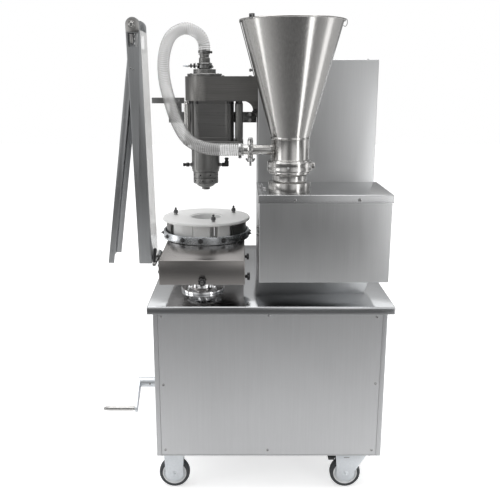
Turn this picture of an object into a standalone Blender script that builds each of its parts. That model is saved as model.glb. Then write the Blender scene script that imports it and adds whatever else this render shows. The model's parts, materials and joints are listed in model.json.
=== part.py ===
"""Semi-automatic capsule filler: a wheeled cabinet with a worktop, a powder
hopper over a cantilevered feeder box, a filling head on a belt arm, a lifting
and turning capsule-plate table, and a two-leaf folding guard.

Units are metres, +Z up, the front faces -Y.  The dimensions below are in
machine coordinates: x = 0 on the worktop's centre line, y = 0 on its front
edge, z = 0 on the floor.  MACHINE_FRAME then moves everything so that the
origin is under the middle of the object's box.
"""

import math

import bmesh
import bpy
from mathutils import Matrix, Vector

# ------------------------------------------------------------------ dimensions
GAP = 0.0003                                  # running gap between touching pieces
SHEET = 0.002                                 # folded sheet steel

TOP_W, TOP_D, TOP_Z, TOP_LIP = 0.750, 0.795, 0.6423, 0.0240
CAB_X0, CAB_X1, CAB_Y0, CAB_Y1 = -0.3600, 0.3570, 0.0170, 0.7780
CAB_Z0 = 0.1340
PANEL_X0, PANEL_X1 = -0.3450, 0.3420

WHEEL_R, WHEEL_W = 0.0500, 0.0300
CASTER_RIGID_X, CASTER_SWIVEL_X = -0.3090, 0.2900
CASTER_TRAIL = 0.0380
CASTER_FRONT_Y, CASTER_REAR_Y = 0.0650, 0.7200

BOX_X0, BOX_X1, BOX_Y0, BOX_Y1 = -0.0370, 0.3540, 0.0220, 0.2845
BOX_Z0, BOX_LID_Z, BOX_LIP = 0.7120, 0.9790, 0.0240
TALL_X0, TALL_X1, TALL_Y0, TALL_Y1, TALL_Z1 = -0.0360, 0.3460, 0.2850, 0.4600, 1.3675

HOP_X, HOP_Y = 0.0560, 0.0970                 # hopper axis
HOP_NECK_R, HOP_TOP_R = 0.0568, 0.1490
HOP_NECK_Z, HOP_CONE_Z, HOP_TOP_Z = 1.0713, 1.1410, 1.4720
PORT_Z, PORT_R = 1.1030, 0.0145

HEAD_X, HEAD_Y = -0.2100, 0.3680              # spindle and turntable axis
ARM_R, ARM_Z0, ARM_Z1 = 0.0800, 1.2383, 1.3166
ARM_CX = -0.1944                              # centre of the arm's round end
MOTOR_X = -0.1530                             # head motor, beside the spindle

TBL_X0, TBL_X1, TBL_Y0, TBL_Y1 = -0.3390, -0.0785, 0.0350, 0.5400
TBL_Z0, TBL_Z1 = 0.7007, 0.7775
COL_X, COL_Y = -0.2145, 0.1820                # lifting column under the table
DISC_R, DISC_HOLE_R, DISC_Z0, DISC_Z1 = 0.1500, 0.0520, 0.8400, 0.8490
RING_R, RING_Z0, RING_Z1 = 0.1480, 0.7790, 0.8050
FINIAL_R = 0.1100
FINIAL_DEG = (168.0, 32.0, -75.0)

LEAF_Y0, LEAF_Y1 = 0.0575, 0.2000             # folding guard at the left
LEAF_PIVOT_X, LEAF_PIVOT_Z = -0.3980, 1.4557

CRANK_Z = 0.3140                              # crank axis, along X at COL_Y
CRANK_ARM_END = (0.0920, 0.2620)              # y, z of the grip's axis
CRANK_GRIP_END = -0.5380

X_MIN, X_MAX = CRANK_GRIP_END, TOP_W / 2
Y_MIN, Y_MAX = HOP_Y - HOP_TOP_R - 0.0030, TOP_D
ORIGIN_X, ORIGIN_Y = (X_MIN + X_MAX) / 2, (Y_MIN + Y_MAX) / 2

# ---------------------------------------------------------------------- scene
for old in list(bpy.data.objects):
    bpy.data.objects.remove(old, do_unlink=True)

parts = bpy.data.collections.new("capsule_filler")
cutters = bpy.data.collections.new("cutters")
bpy.context.scene.collection.children.link(parts)
bpy.context.scene.collection.children.link(cutters)

frame = bpy.data.objects.new("machine_frame", None)
frame.location = (-ORIGIN_X, -ORIGIN_Y, 0.0)
parts.objects.link(frame)


def material(name, color, roughness, metallic):
    made = bpy.data.materials.new(name)
    made.use_nodes = True
    shader = made.node_tree.nodes["Principled BSDF"]
    shader.inputs["Base Color"].default_value = (*color, 1.0)
    shader.inputs["Roughness"].default_value = roughness
    shader.inputs["Metallic"].default_value = metallic
    return made


STAINLESS = material("brushed_stainless", (0.42, 0.42, 0.43), 0.34, 1.0)
STAINLESS_DARK = material("brushed_stainless_dark", (0.20, 0.20, 0.20), 0.36, 1.0)
POLISHED = material("polished_stainless", (0.60, 0.59, 0.57), 0.18, 1.0)
CHROME = material("chrome", (0.75, 0.75, 0.75), 0.06, 1.0)
CAST = material("head_grey", (0.09, 0.09, 0.09), 0.35, 0.8)
ZINC = material("zinc_plated", (0.55, 0.56, 0.58), 0.35, 1.0)
RUBBER = material("tyre_rubber", (0.05, 0.05, 0.055), 0.65, 0.0)
BLACK = material("black_plastic", (0.02, 0.02, 0.022), 0.35, 0.0)
WHITE = material("white_plastic", (0.80, 0.80, 0.78), 0.45, 0.0)
CLEAR = material("clear_guard", (0.85, 0.85, 0.84), 0.25, 0.0)
HOSE = material("hose_pvc", (0.70, 0.70, 0.68), 0.20, 0.0)
BELT = material("belt_rubber", (0.03, 0.03, 0.03), 0.80, 0.0)
MOTOR = material("motor_paint", (0.14, 0.20, 0.26), 0.50, 0.0)
STEEL = material("machined_steel", (0.50, 0.50, 0.50), 0.28, 1.0)


# -------------------------------------------------------------------- helpers
def link(name, data, mat, origin=(0, 0, 0), rotation=None, helper=False):
    made = bpy.data.objects.new(name, data)
    (cutters if helper else parts).objects.link(made)
    made.parent = frame
    made.location = origin
    if rotation:
        made.rotation_euler = rotation
    if mat:
        data.materials.append(mat)
    if helper:
        made.hide_render = True
        made.display_type = "WIRE"
    return made


def smooth(mesh, degrees=35):
    mesh.shade_smooth()
    mesh.set_sharp_from_angle(angle=math.radians(degrees))


def box(name, low, high, mat=None, origin=None, helper=False, drop=()):
    """A cuboid between two corners.  drop names faces left open: '+z', '-y'..."""
    low, high = Vector(low), Vector(high)
    origin = Vector(origin) if origin else (low + high) / 2
    bm = bmesh.new()
    bmesh.ops.create_cube(bm, size=1.0)
    bmesh.ops.scale(bm, vec=high - low, verts=bm.verts)
    bmesh.ops.translate(bm, vec=(low + high) / 2 - origin, verts=bm.verts)
    bm.normal_update()
    gone = []
    for face in bm.faces:
        for side in drop:
            axis = "xyz".index(side[1])
            if face.normal[axis] * (1 if side[0] == "+" else -1) > 0.9:
                gone.append(face)
    bmesh.ops.delete(bm, geom=gone, context="FACES")
    mesh = bpy.data.meshes.new(name)
    bm.to_mesh(mesh)
    bm.free()
    return link(name, mesh, mat, origin, helper=helper)


def solidify(obj, thickness, offset=-1):
    made = obj.modifiers.new("sheet", "SOLIDIFY")
    made.thickness = thickness
    made.offset = offset
    made.use_even_offset = True
    return obj


def bevel(obj, width, segments=2, angle=40):
    made = obj.modifiers.new("edges", "BEVEL")
    made.width = width
    made.segments = segments
    made.limit_method = "ANGLE"
    made.angle_limit = math.radians(angle)
    made.harden_normals = False
    return obj


def rod(name, radius, start, end, mat=None, segments=18, origin=None, helper=False, radius2=None):
    """A cylinder, or a cone, between two points."""
    start, end = Vector(start), Vector(end)
    origin = Vector(origin) if origin else (start + end) / 2
    bm = bmesh.new()
    bmesh.ops.create_cone(
        bm, cap_ends=True, segments=segments, radius1=radius,
        radius2=radius if radius2 is None else radius2, depth=(end - start).length,
    )
    turn = Vector((0, 0, 1)).rotation_difference(end - start).to_matrix().to_4x4()
    bmesh.ops.transform(
        bm, matrix=Matrix.Translation((start + end) / 2 - origin) @ turn, verts=bm.verts)
    mesh = bpy.data.meshes.new(name)
    bm.to_mesh(mesh)
    bm.free()
    smooth(mesh)
    return link(name, mesh, mat, origin, helper=helper)


def turned(name, profile, centre, mat=None, steps=24, along="Z", helper=False):
    """A turned shape: (radius, height) points from the top down the outer side."""
    mesh = bpy.data.meshes.new(name)
    bm = bmesh.new()
    points = [bm.verts.new((r, 0.0, h)) for r, h in profile]
    for a, b in zip(points, points[1:]):
        bm.edges.new((a, b))
    if profile[0][0] > 1e-6:                       # a ring or tube closes on itself
        bm.edges.new((points[-1], points[0]))
    bm.to_mesh(mesh)
    bm.free()
    turns = {"Z": (0, 0, 0), "X": (0, math.pi / 2, 0), "-X": (0, -math.pi / 2, 0),
             "Y": (-math.pi / 2, 0, 0), "-Y": (math.pi / 2, 0, 0)}
    made = link(name, mesh, mat, centre, turns[along], helper=helper)
    screw = made.modifiers.new("turn", "SCREW")
    screw.angle = 2 * math.pi
    screw.steps = screw.render_steps = steps
    screw.use_merge_vertices = True
    screw.merge_threshold = 0.00002
    screw.use_smooth_shade = True
    screw.use_normal_calculate = False
    return made


def plate(name, outline, thickness, centre, mat=None, rotation=None, holes=(), helper=False):
    """A flat outline in local XY, made solid: a filled 2D curve, extruded."""
    curve = bpy.data.curves.new(name, "CURVE")
    curve.dimensions = "2D"
    curve.fill_mode = "BOTH"
    curve.extrude = thickness / 2
    for points in (outline, *holes):
        spline = curve.splines.new("POLY")
        spline.points.add(len(points) - 1)
        for point, (x, y) in zip(spline.points, points):
            point.co = (x, y, 0, 1)
        spline.use_cyclic_u = True
    made = link(name, curve, mat, centre, rotation, helper=helper)
    bpy.context.view_layer.update()
    graph = bpy.context.evaluated_depsgraph_get()
    mesh = bpy.data.meshes.new_from_object(made.evaluated_get(graph))
    bm = bmesh.new()
    bm.from_mesh(mesh)
    bmesh.ops.remove_doubles(bm, verts=bm.verts, dist=0.00001)
    bmesh.ops.recalc_face_normals(bm, faces=bm.faces)
    bm.to_mesh(mesh)
    bm.free()
    smooth(mesh, 30)
    bpy.data.objects.remove(made, do_unlink=True)
    mesh.name = name
    return link(name, mesh, mat if not mesh.materials else None, centre, rotation, helper=helper)


def join(obj, *others):
    for other in others:
        made = obj.modifiers.new("join", "BOOLEAN")
        made.operation, made.solver, made.object = "UNION", "EXACT", other
    return obj


def cut(obj, *others):
    for other in others:
        made = obj.modifiers.new("cut", "BOOLEAN")
        made.operation, made.solver, made.object = "DIFFERENCE", "EXACT", other
    return obj


def ring_points(radius, count, centre=(0, 0), start=0.0):
    return [(centre[0] + radius * math.cos(start + 2 * math.pi * i / count),
             centre[1] + radius * math.sin(start + 2 * math.pi * i / count))
            for i in range(count)]


def slot_points(a, b, ra, rb, steps=8):
    """Outline round two circles, as of a lever or link."""
    a, b = Vector(a), Vector(b)
    d = b - a
    base = math.atan2(d.y, d.x)
    tilt = math.acos(max(-1, min(1, (ra - rb) / d.length)))
    points = []
    for centre, radius, lo, hi in ((b, rb, base - tilt, base + tilt),
                                   (a, ra, base + tilt, base - tilt + 2 * math.pi)):
        for i in range(steps + 1):
            angle = lo + (hi - lo) * i / steps
            points.append((centre.x + radius * math.cos(angle),
                           centre.y + radius * math.sin(angle)))
    return points


def tube_curve(name, points, radius, mat, resolution=2):
    curve = bpy.data.curves.new(name, "CURVE")
    curve.dimensions = "3D"
    curve.bevel_depth = radius
    curve.bevel_resolution = resolution
    curve.use_fill_caps = True
    spline = curve.splines.new("POLY")
    spline.points.add(len(points) - 1)
    for point, co in zip(spline.points, points):
        point.co = (*co, 1)
    return link(name, curve, mat)


def through(points, count):
    """Evenly spaced points on a smooth Catmull-Rom curve through the given ones."""
    pts = [Vector(p) for p in points]
    pts = [2 * pts[0] - pts[1]] + pts + [2 * pts[-1] - pts[-2]]
    dense = []
    for i in range(1, len(pts) - 2):
        p0, p1, p2, p3 = pts[i - 1:i + 3]
        for k in range(24):
            t = k / 24
            dense.append(0.5 * (2 * p1 + (p2 - p0) * t + (2 * p0 - 5 * p1 + 4 * p2 - p3) * t * t
                                + (3 * p1 - p0 - 3 * p2 + p3) * t ** 3))
    dense.append(pts[-2])
    lengths = [0.0]
    for a, b in zip(dense, dense[1:]):
        lengths.append(lengths[-1] + (b - a).length)
    out = []
    for i in range(count):
        want = lengths[-1] * i / (count - 1)
        k = max(j for j in range(len(lengths)) if lengths[j] <= want + 1e-9)
        if k >= len(dense) - 1:
            out.append(dense[-1])
        else:
            t = (want - lengths[k]) / (lengths[k + 1] - lengths[k])
            out.append(dense[k].lerp(dense[k + 1], t))
    return out


# ------------------------------------------------------------ cabinet and top
cabinet = box("cabinet_shell", (CAB_X0, CAB_Y0, CAB_Z0),
              (CAB_X1, CAB_Y1, TOP_Z - SHEET - GAP), STAINLESS, drop=("+z",))
solidify(cabinet, SHEET)
cut(cabinet, box("cut_front", (PANEL_X0, CAB_Y0 - 0.01, CAB_Z0 + SHEET + 0.0005),
                 (PANEL_X1, CAB_Y0 + 0.01, TOP_Z + 0.05), helper=True),
    rod("cut_crank", 0.0130, (CAB_X0 - 0.02, COL_Y, CRANK_Z), (CAB_X0 + 0.02, COL_Y, CRANK_Z),
        helper=True))

front_panel = box("front_panel", (PANEL_X0 + GAP, CAB_Y0, CAB_Z0 + SHEET + 0.0008),
                  (PANEL_X1 - GAP, CAB_Y0 + SHEET, TOP_Z - 0.004), STAINLESS)

worktop = box("worktop", (-TOP_W / 2, 0, TOP_Z - TOP_LIP), (TOP_W / 2, TOP_D, TOP_Z),
              STAINLESS, drop=("-z",))
solidify(worktop, SHEET)
cut(worktop, rod("cut_column", 0.0300, (COL_X, COL_Y, TOP_Z - 0.05), (COL_X, COL_Y, TOP_Z + 0.05),
                 helper=True))

# gearbox of the table lift: a bracket under the worktop that holds screw and crank
lift_bracket = box("lift_bracket", (COL_X - 0.055, COL_Y - 0.045, 0.3620),
                   (COL_X + 0.055, COL_Y + 0.045, TOP_Z - SHEET - 0.0006), STAINLESS_DARK)
cut(lift_bracket,
    box("cut_lift_bracket", (COL_X - 0.049, COL_Y - 0.1, 0.3700),
        (COL_X + 0.049, COL_Y + 0.1, TOP_Z - 0.010), helper=True),
    rod("cut_lift_bracket_top", 0.0240, (COL_X, COL_Y, TOP_Z - 0.1), (COL_X, COL_Y, TOP_Z + 0.1),
        helper=True),
    rod("cut_lift_bracket_screw", 0.0103, (COL_X, COL_Y, 0.30), (COL_X, COL_Y, 0.42),
        helper=True))

# ---------------------------------------------------------------------- casters
# The wheels stand across the machine: their axles run front to back.
LEG, LEG_GAP = 0.0030, WHEEL_W / 2 + 0.0022


def caster_wheel(name, hub):
    w = WHEEL_W / 2
    profile = [(0.0066, w * 0.9), (0.0150, w * 0.9), (0.0170, w * 0.5), (0.0345, w * 0.5),
               (0.0370, w * 0.86), (0.0440, w), (0.0490, w * 0.62), (0.0490, -w * 0.62),
               (0.0440, -w), (0.0370, -w * 0.86), (0.0345, -w * 0.5),
               (0.0170, -w * 0.5), (0.0150, -w * 0.9), (0.0066, -w * 0.9)]
    profile = [(r + (WHEEL_R - 0.0490 if r == 0.0490 else 0), h) for r, h in profile]
    return turned(name, profile, hub, RUBBER, steps=20, along="Y")


def fork(name, hub, top, z_top, pivot_x):
    """Pressed fork: crown, two legs with a round foot on the axle, and the axle bolt."""
    x0, x1 = top
    foot = [(hub[0] + 0.0300 * math.cos(a), hub[2] + 0.0240 * math.sin(a))
            for a in (math.pi - 0.3 + (math.pi + 0.6) * i / 10 for i in range(11))]
    outline = [(x1, z_top - 0.0020), (x0, z_top - 0.0020)] + foot
    made = box(name, (x0, hub[1] - LEG_GAP - LEG, z_top - 0.0045),
               (x1, hub[1] + LEG_GAP + LEG, z_top), ZINC, origin=(pivot_x, hub[1], z_top))
    for side in (-1, 1):
        join(made, plate(name + "_leg", outline, LEG, (0, hub[1] + side * (LEG_GAP + LEG / 2), 0),
                         rotation=(math.pi / 2, 0, 0), helper=True))
    join(made, rod(name + "_axle", 0.0060, (hub[0], hub[1] - LEG_GAP - LEG - 0.0050, hub[2]),
                   (hub[0], hub[1] + LEG_GAP + LEG + 0.0050, hub[2]), segments=12, helper=True))
    return made


for tag, y in (("front", CASTER_FRONT_Y), ("rear", CASTER_REAR_Y)):
    hub = (CASTER_RIGID_X, y, WHEEL_R)
    caster_wheel("rigid_wheel_" + tag, hub)
    rigid = fork("rigid_fork_" + tag, hub, (hub[0] - 0.0330, hub[0] + 0.0330), CAB_Z0 - GAP, hub[0])
    join(rigid, box("rigid_plate_" + tag, (hub[0] - 0.0430, y - 0.0400, CAB_Z0 - GAP - 0.0035),
                    (hub[0] + 0.0430, y + 0.0400, CAB_Z0 - GAP), helper=True))

    # swivel caster: at rest its wheel trails towards the machine's middle
    pivot = (CASTER_SWIVEL_X, y)
    z_top = CAB_Z0 - 0.0120
    hub = (CASTER_SWIVEL_X - CASTER_TRAIL, y, WHEEL_R)
    caster_wheel("swivel_wheel_" + tag, hub)
    swivel = fork("swivel_fork_" + tag, hub, (hub[0] - 0.0335, pivot[0] + 0.0300), z_top, pivot[0])
    join(swivel, rod("swivel_race_" + tag, 0.0220, (*pivot, z_top - 0.0045),
                     (*pivot, z_top + 0.0035), segments=18, helper=True),
         rod("swivel_pin_" + tag, 0.0060, (*pivot, z_top), (*pivot, CAB_Z0 - 0.0012),
             segments=10, helper=True))
    join(cabinet,
         box("swivel_plate_" + tag, (pivot[0] - 0.0430, y - 0.0400, CAB_Z0 - 0.0040),
             (pivot[0] + 0.0430, y + 0.0400, CAB_Z0 + 0.0010), helper=True),
         rod("swivel_cup_" + tag, 0.0240, (*pivot, z_top + 0.0040), (*pivot, CAB_Z0 - 0.0030),
             segments=18, helper=True))
    cut(cabinet, rod("swivel_bore_" + tag, 0.0070, (*pivot, z_top - 0.01), (*pivot, CAB_Z0 + 0.01),
                     segments=10, helper=True))

# brake pedal of the front swivel caster: a tab over the wheel's outer edge
PEDAL = (CASTER_SWIVEL_X - CASTER_TRAIL - 0.0090, CASTER_FRONT_Y, 0.1080)
pedal = box("brake_pedal", (PEDAL[0] - 0.0400, PEDAL[1] - 0.0120, 0.1045),
            (PEDAL[0] + 0.0040, PEDAL[1] + 0.0120, 0.1080), BLACK, origin=PEDAL)
join(pedal, box("pedal_toe", (PEDAL[0] - 0.0480, PEDAL[1] - 0.0165, 0.1000),
                (PEDAL[0] - 0.0280, PEDAL[1] + 0.0165, 0.1070), helper=True))

# ------------------------------------------------- feeder box and tall housing
tall = box("tall_housing", (TALL_X0, TALL_Y0, TOP_Z + GAP), (TALL_X1, TALL_Y1, TALL_Z1),
           STAINLESS, drop=("-z",))
solidify(tall, SHEET)
cut(tall, box("cut_tall_drive", (HOP_X - 0.040, TALL_Y0 - 0.01, 0.800),
              (HOP_X + 0.200, TALL_Y0 + 0.01, 0.900), helper=True))

feeder = box("feeder_box", (BOX_X0, BOX_Y0, BOX_Z0), (BOX_X1, BOX_Y1, BOX_LID_Z - SHEET - GAP),
             STAINLESS, drop=("+z",))
solidify(feeder, SHEET)
lid = box("feeder_lid", (BOX_X0 - 0.003, BOX_Y0 - 0.003, BOX_LID_Z - BOX_LIP),
          (BOX_X1 + 0.003, BOX_Y1, BOX_LID_Z), STAINLESS, drop=("-z", "+y"))
solidify(lid, SHEET)
cut(lid, rod("cut_lid_shaft", 0.0150, (HOP_X, HOP_Y, BOX_LID_Z - 0.05),
             (HOP_X, HOP_Y, BOX_LID_Z + 0.05), helper=True))

motor = rod("feeder_motor", 0.0420, (HOP_X, HOP_Y, 0.760), (HOP_X, HOP_Y, 0.905), MOTOR,
            segments=20)
join(motor, box("feeder_motor_gear", (HOP_X - 0.046, HOP_Y - 0.046, 0.900),
                (HOP_X + 0.046, HOP_Y + 0.046, 0.9450), helper=True),
     box("feeder_motor_foot", (HOP_X - 0.060, HOP_Y - 0.060, BOX_Z0 + SHEET + GAP),
         (HOP_X + 0.060, HOP_Y + 0.060, 0.765), helper=True))
cut(motor, rod("feeder_motor_bore", 0.0100, (HOP_X, HOP_Y, 0.915), (HOP_X, HOP_Y, 0.960),
               segments=16, helper=True))

# -------------------------------------------------------------------- hopper
turned("hopper_base",
       [(0.0200, 0.0617), (0.0620, 0.0617), (0.0620, 0.0540), (0.0510, 0.0500), (0.0510, 0.0330),
        (0.0600, 0.0300), (0.0640, 0.0285), (0.0640, 0.0000), (0.0200, 0.0000)],
       (HOP_X, HOP_Y, BOX_LID_Z + GAP), STAINLESS, steps=28)
clamp = turned("hopper_clamp_ring",
               [(0.0623, 0.0300), (0.0660, 0.0300), (0.0675, 0.0200), (0.0675, 0.0100),
                (0.0660, 0.0000), (0.0623, 0.0000)],
               (HOP_X, HOP_Y, 1.0410), POLISHED, steps=28)
join(clamp, box("clamp_ear", (HOP_X + 0.0650, HOP_Y - 0.0110, 1.0450),
                (HOP_X + 0.0820, HOP_Y + 0.0110, 1.0670), helper=True))
cut(clamp, box("clamp_slit", (HOP_X + 0.0500, HOP_Y - 0.0015, 1.0300),
               (HOP_X + 0.0950, HOP_Y + 0.0015, 1.0800), helper=True))

wall = 0.0016
hopper = turned("hopper",
                [(HOP_TOP_R - wall, HOP_TOP_Z - 0.0012), (HOP_TOP_R, HOP_TOP_Z),
                 (HOP_TOP_R + 0.0030, HOP_TOP_Z - 0.0030), (HOP_TOP_R + 0.0010, HOP_TOP_Z - 0.0070),
                 (HOP_NECK_R + 0.0010, HOP_CONE_Z + 0.0010),
                 (HOP_NECK_R + 0.0010, HOP_CONE_Z - 0.0060), (HOP_NECK_R, HOP_CONE_Z - 0.0062),
                 (HOP_NECK_R, HOP_NECK_Z + 0.0040), (0.0620, HOP_NECK_Z + 0.0030),
                 (0.0620, HOP_NECK_Z - 0.0298), (HOP_NECK_R - wall, HOP_NECK_Z - 0.0298),
                 (HOP_NECK_R - wall, HOP_CONE_Z), ],
                (HOP_X, HOP_Y, 0), POLISHED, steps=28)
hopper.data.name = "hopper"
join(hopper, rod("port_pipe_outer", PORT_R, (HOP_X - HOP_NECK_R + 0.0012, HOP_Y, PORT_Z),
                 (-0.0625, HOP_Y, PORT_Z), helper=True, segments=20),
     rod("port_pipe_flange", 0.0245, (-0.0625, HOP_Y, PORT_Z), (-0.0585, HOP_Y, PORT_Z),
         helper=True, segments=24))
cut(hopper, rod("cut_port_bore", PORT_R - 0.0015, (HOP_X - 0.020, HOP_Y, PORT_Z),
                (-0.0800, HOP_Y, PORT_Z), helper=True, segments=20))

# agitator: a shaft up through the base with two inclined arms and a scraper
agitator = rod("hopper_agitator", 0.0090, (HOP_X, HOP_Y, 0.9200), (HOP_X, HOP_Y, 1.2600), STEEL,
               segments=16, origin=(HOP_X, HOP_Y, 1.10))
join(agitator,
     rod("agitator_arm_a", 0.0045, (HOP_X, HOP_Y, 1.0760), (HOP_X + 0.0480, HOP_Y, 1.0760),
         segments=8, helper=True),
     rod("agitator_arm_b", 0.0045, (HOP_X, HOP_Y, 1.2450), (HOP_X - 0.0680, HOP_Y, 1.2450),
         segments=8, helper=True),
     rod("agitator_arm_c", 0.0045, (HOP_X, HOP_Y, 1.1600), (HOP_X + 0.0520, HOP_Y, 1.1600),
         segments=8, helper=True),
     box("agitator_blade", (HOP_X + 0.0440, HOP_Y - 0.0020, 1.0720),
         (HOP_X + 0.0500, HOP_Y + 0.0020, 1.1640), helper=True))

# side port: the hose tail, the two-bolt clamp and its wing nut
tail = turned("port_hose_tail",
              [(0.0110, 0.0332), (0.0143, 0.0332), (0.0143, 0.0100), (0.0150, 0.0060),
               (0.0245, 0.0040), (0.0245, 0.0000), (0.0110, 0.0000)],
              (-0.0628, HOP_Y, PORT_Z), STEEL, steps=20, along="-X")
port_clamp = turned("port_clamp",
                    [(0.0250, 0.0160), (0.0300, 0.0160), (0.0315, 0.0080), (0.0300, 0.0000),
                     (0.0250, 0.0000)],
                    (-0.0707, HOP_Y, PORT_Z), STEEL, steps=20, along="X")
join(port_clamp,
     rod("port_clamp_bolt", 0.0035, (-0.0627, HOP_Y - 0.0400, PORT_Z + 0.0350),
         (-0.0627, HOP_Y - 0.0400, PORT_Z - 0.0440), segments=10, helper=True),
     box("port_clamp_lug_a", (-0.0687, HOP_Y - 0.0460, PORT_Z + 0.0110),
         (-0.0567, HOP_Y - 0.0230, PORT_Z + 0.0190), helper=True),
     box("port_clamp_lug_b", (-0.0687, HOP_Y - 0.0460, PORT_Z - 0.0190),
         (-0.0567, HOP_Y - 0.0230, PORT_Z - 0.0110), helper=True),
     rod("port_clamp_head", 0.0065, (-0.0627, HOP_Y - 0.0400, PORT_Z + 0.0330),
         (-0.0627, HOP_Y - 0.0400, PORT_Z + 0.0390), segments=6, helper=True))
wing = turned("port_wing_nut",
              [(0.0040, 0.0070), (0.0062, 0.0070), (0.0075, -0.0050), (0.0040, -0.0050)],
              (-0.0627, HOP_Y - 0.0400, PORT_Z - 0.0265), STEEL, steps=12)
for side, sign in (("a", -1), ("b", 1)):
    ear = box("wing_ear_" + side, (-0.0627 + (0.0055 if sign > 0 else -0.0150), HOP_Y - 0.0412, PORT_Z - 0.0340),
              (-0.0627 + (0.0150 if sign > 0 else -0.0055), HOP_Y - 0.0388, PORT_Z - 0.0205), helper=True)
    join(wing, ear)

# --------------------------------------------------------------- filling head
arm_steps = 14
arm_outline = [(-0.0365, HEAD_Y - ARM_R), (-0.0365, HEAD_Y + ARM_R)] + [
    (ARM_CX + ARM_R * math.cos(a), HEAD_Y + ARM_R * math.sin(a))
    for a in (math.pi / 2 + math.pi * i / arm_steps for i in range(arm_steps + 1))]
arm = plate("belt_arm", arm_outline, ARM_Z1 - ARM_Z0, (0, 0, (ARM_Z0 + ARM_Z1) / 2), CAST)
inner = ARM_R - 0.006
arm_inner = [(0.0000, HEAD_Y - inner), (0.0000, HEAD_Y + inner)] + [
    (ARM_CX + inner * math.cos(a), HEAD_Y + inner * math.sin(a))
    for a in (math.pi / 2 + math.pi * i / arm_steps for i in range(arm_steps + 1))]
GUSSET_X = -0.0720
gusset = [(-0.0365, ARM_Z0 + 0.004), (-0.0365, ARM_Z0 - 0.0560)] + [
    (-0.0500 - 0.034 + 0.034 * math.cos(a), ARM_Z0 - 0.0340 + 0.034 * math.sin(a))
    for a in (math.pi / 2 * i / 6 for i in range(7))] + [(-0.0840, ARM_Z0 + 0.004)]
join(arm, plate("arm_gusset", gusset, 0.0900, (0, HEAD_Y, 0), rotation=(math.pi / 2, 0, 0),
                helper=True))
cut(arm, plate("arm_cavity", arm_inner, ARM_Z1 - ARM_Z0 - 0.012, (0, 0, (ARM_Z0 + ARM_Z1) / 2),
               helper=True),
    rod("cut_arm_spindle", 0.0190, (HEAD_X, HEAD_Y, 1.15), (HEAD_X, HEAD_Y, 1.40), helper=True),
    rod("cut_arm_motor", 0.0130, (MOTOR_X, HEAD_Y, 1.15), (MOTOR_X, HEAD_Y, 1.28), helper=True))

turned("inlet_fitting",
       [(0.0100, 1.3985), (0.0155, 1.3985), (0.0155, 1.3760), (0.0180, 1.3740), (0.0180, 1.3400),
        (0.0370, 1.3385), (0.0370, 1.3252), (0.0560, 1.3252), (0.0570, 1.3242),
        (0.0570, ARM_Z1 + GAP), (0.0100, ARM_Z1 + GAP)],
       (HEAD_X, HEAD_Y, 0), STAINLESS, steps=24)
cap_clamp = turned("inlet_clamp",
                   [(0.0184, 0.0180), (0.0250, 0.0180), (0.0250, 0.0000), (0.0184, 0.0000)],
                   (HEAD_X, HEAD_Y, 1.3410), STAINLESS_DARK, steps=20)
join(cap_clamp, rod("inlet_clamp_stud", 0.0040, (HEAD_X - 0.0230, HEAD_Y - 0.0120, 1.3500),
                    (HEAD_X - 0.0400, HEAD_Y - 0.0120, 1.3500), segments=10, helper=True))
join(cap_clamp,
     rod("inlet_clamp_nut", 0.0080, (HEAD_X - 0.0300, HEAD_Y - 0.0120, 1.3500),
         (HEAD_X - 0.0480, HEAD_Y - 0.0120, 1.3500), segments=8, helper=True),
     plate("lever_paddle", slot_points((HEAD_X - 0.0440, 1.3500), (HEAD_X - 0.0700, 1.3470), 0.0060,
                                       0.0045, 5), 0.0060,
           (0, HEAD_Y - 0.0120, 0), rotation=(math.pi / 2, 0, 0), helper=True))

# head frame: the bottom plate with its four tie posts
head_frame = box("head_frame", (-0.2800, HEAD_Y - 0.0660, 1.0990),
                 (-0.0830, HEAD_Y + 0.0660, 1.1100), CAST)
for tag, x, dy, r in (("a", -0.2683, -0.056, 0.0075), ("b", -0.2683, 0.056, 0.0075),
                      ("c", -0.0970, -0.050, 0.0130), ("d", -0.0970, 0.050, 0.0130)):
    join(head_frame, rod("head_post_" + tag, r, (x, HEAD_Y + dy, 1.1080),
                         (x, HEAD_Y + dy, ARM_Z0 - GAP), segments=14, helper=True))
cut(head_frame, rod("cut_head_frame", 0.0136, (HEAD_X, HEAD_Y, 1.05), (HEAD_X, HEAD_Y, 1.15),
                    helper=True))


def rounded(x0, x1, y0, y1, r, n=4):
    points = []
    for cx, cy, a0 in ((x1 - r, y1 - r, 0), (x0 + r, y1 - r, 90), (x0 + r, y0 + r, 180),
                       (x1 - r, y0 + r, 270)):
        for i in range(n + 1):
            a = math.radians(a0 + 90 * i / n)
            points.append((cx + r * math.cos(a), cy + r * math.sin(a)))
    return points


CASE = (-0.2544, -0.1140, HEAD_Y - 0.0640, HEAD_Y + 0.0640)
casing = plate("head_casing", rounded(*CASE, 0.030, 6), ARM_Z0 - GAP - 1.1103,
               (0, 0, (ARM_Z0 - GAP + 1.1103) / 2), CAST,
               holes=[rounded(CASE[0] + 0.004, CASE[1] - 0.004, CASE[2] + 0.004, CASE[3] - 0.004,
                              0.026, 6)[::-1]])
head_motor = rod("head_motor", 0.0300, (MOTOR_X, HEAD_Y, 1.1110), (MOTOR_X, HEAD_Y, 1.2150),
                 MOTOR, segments=24)
join(head_motor, rod("head_motor_shaft", 0.0060, (MOTOR_X, HEAD_Y, 1.2100),
                     (MOTOR_X, HEAD_Y, ARM_Z0 + 0.0100), segments=12, helper=True))

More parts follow.
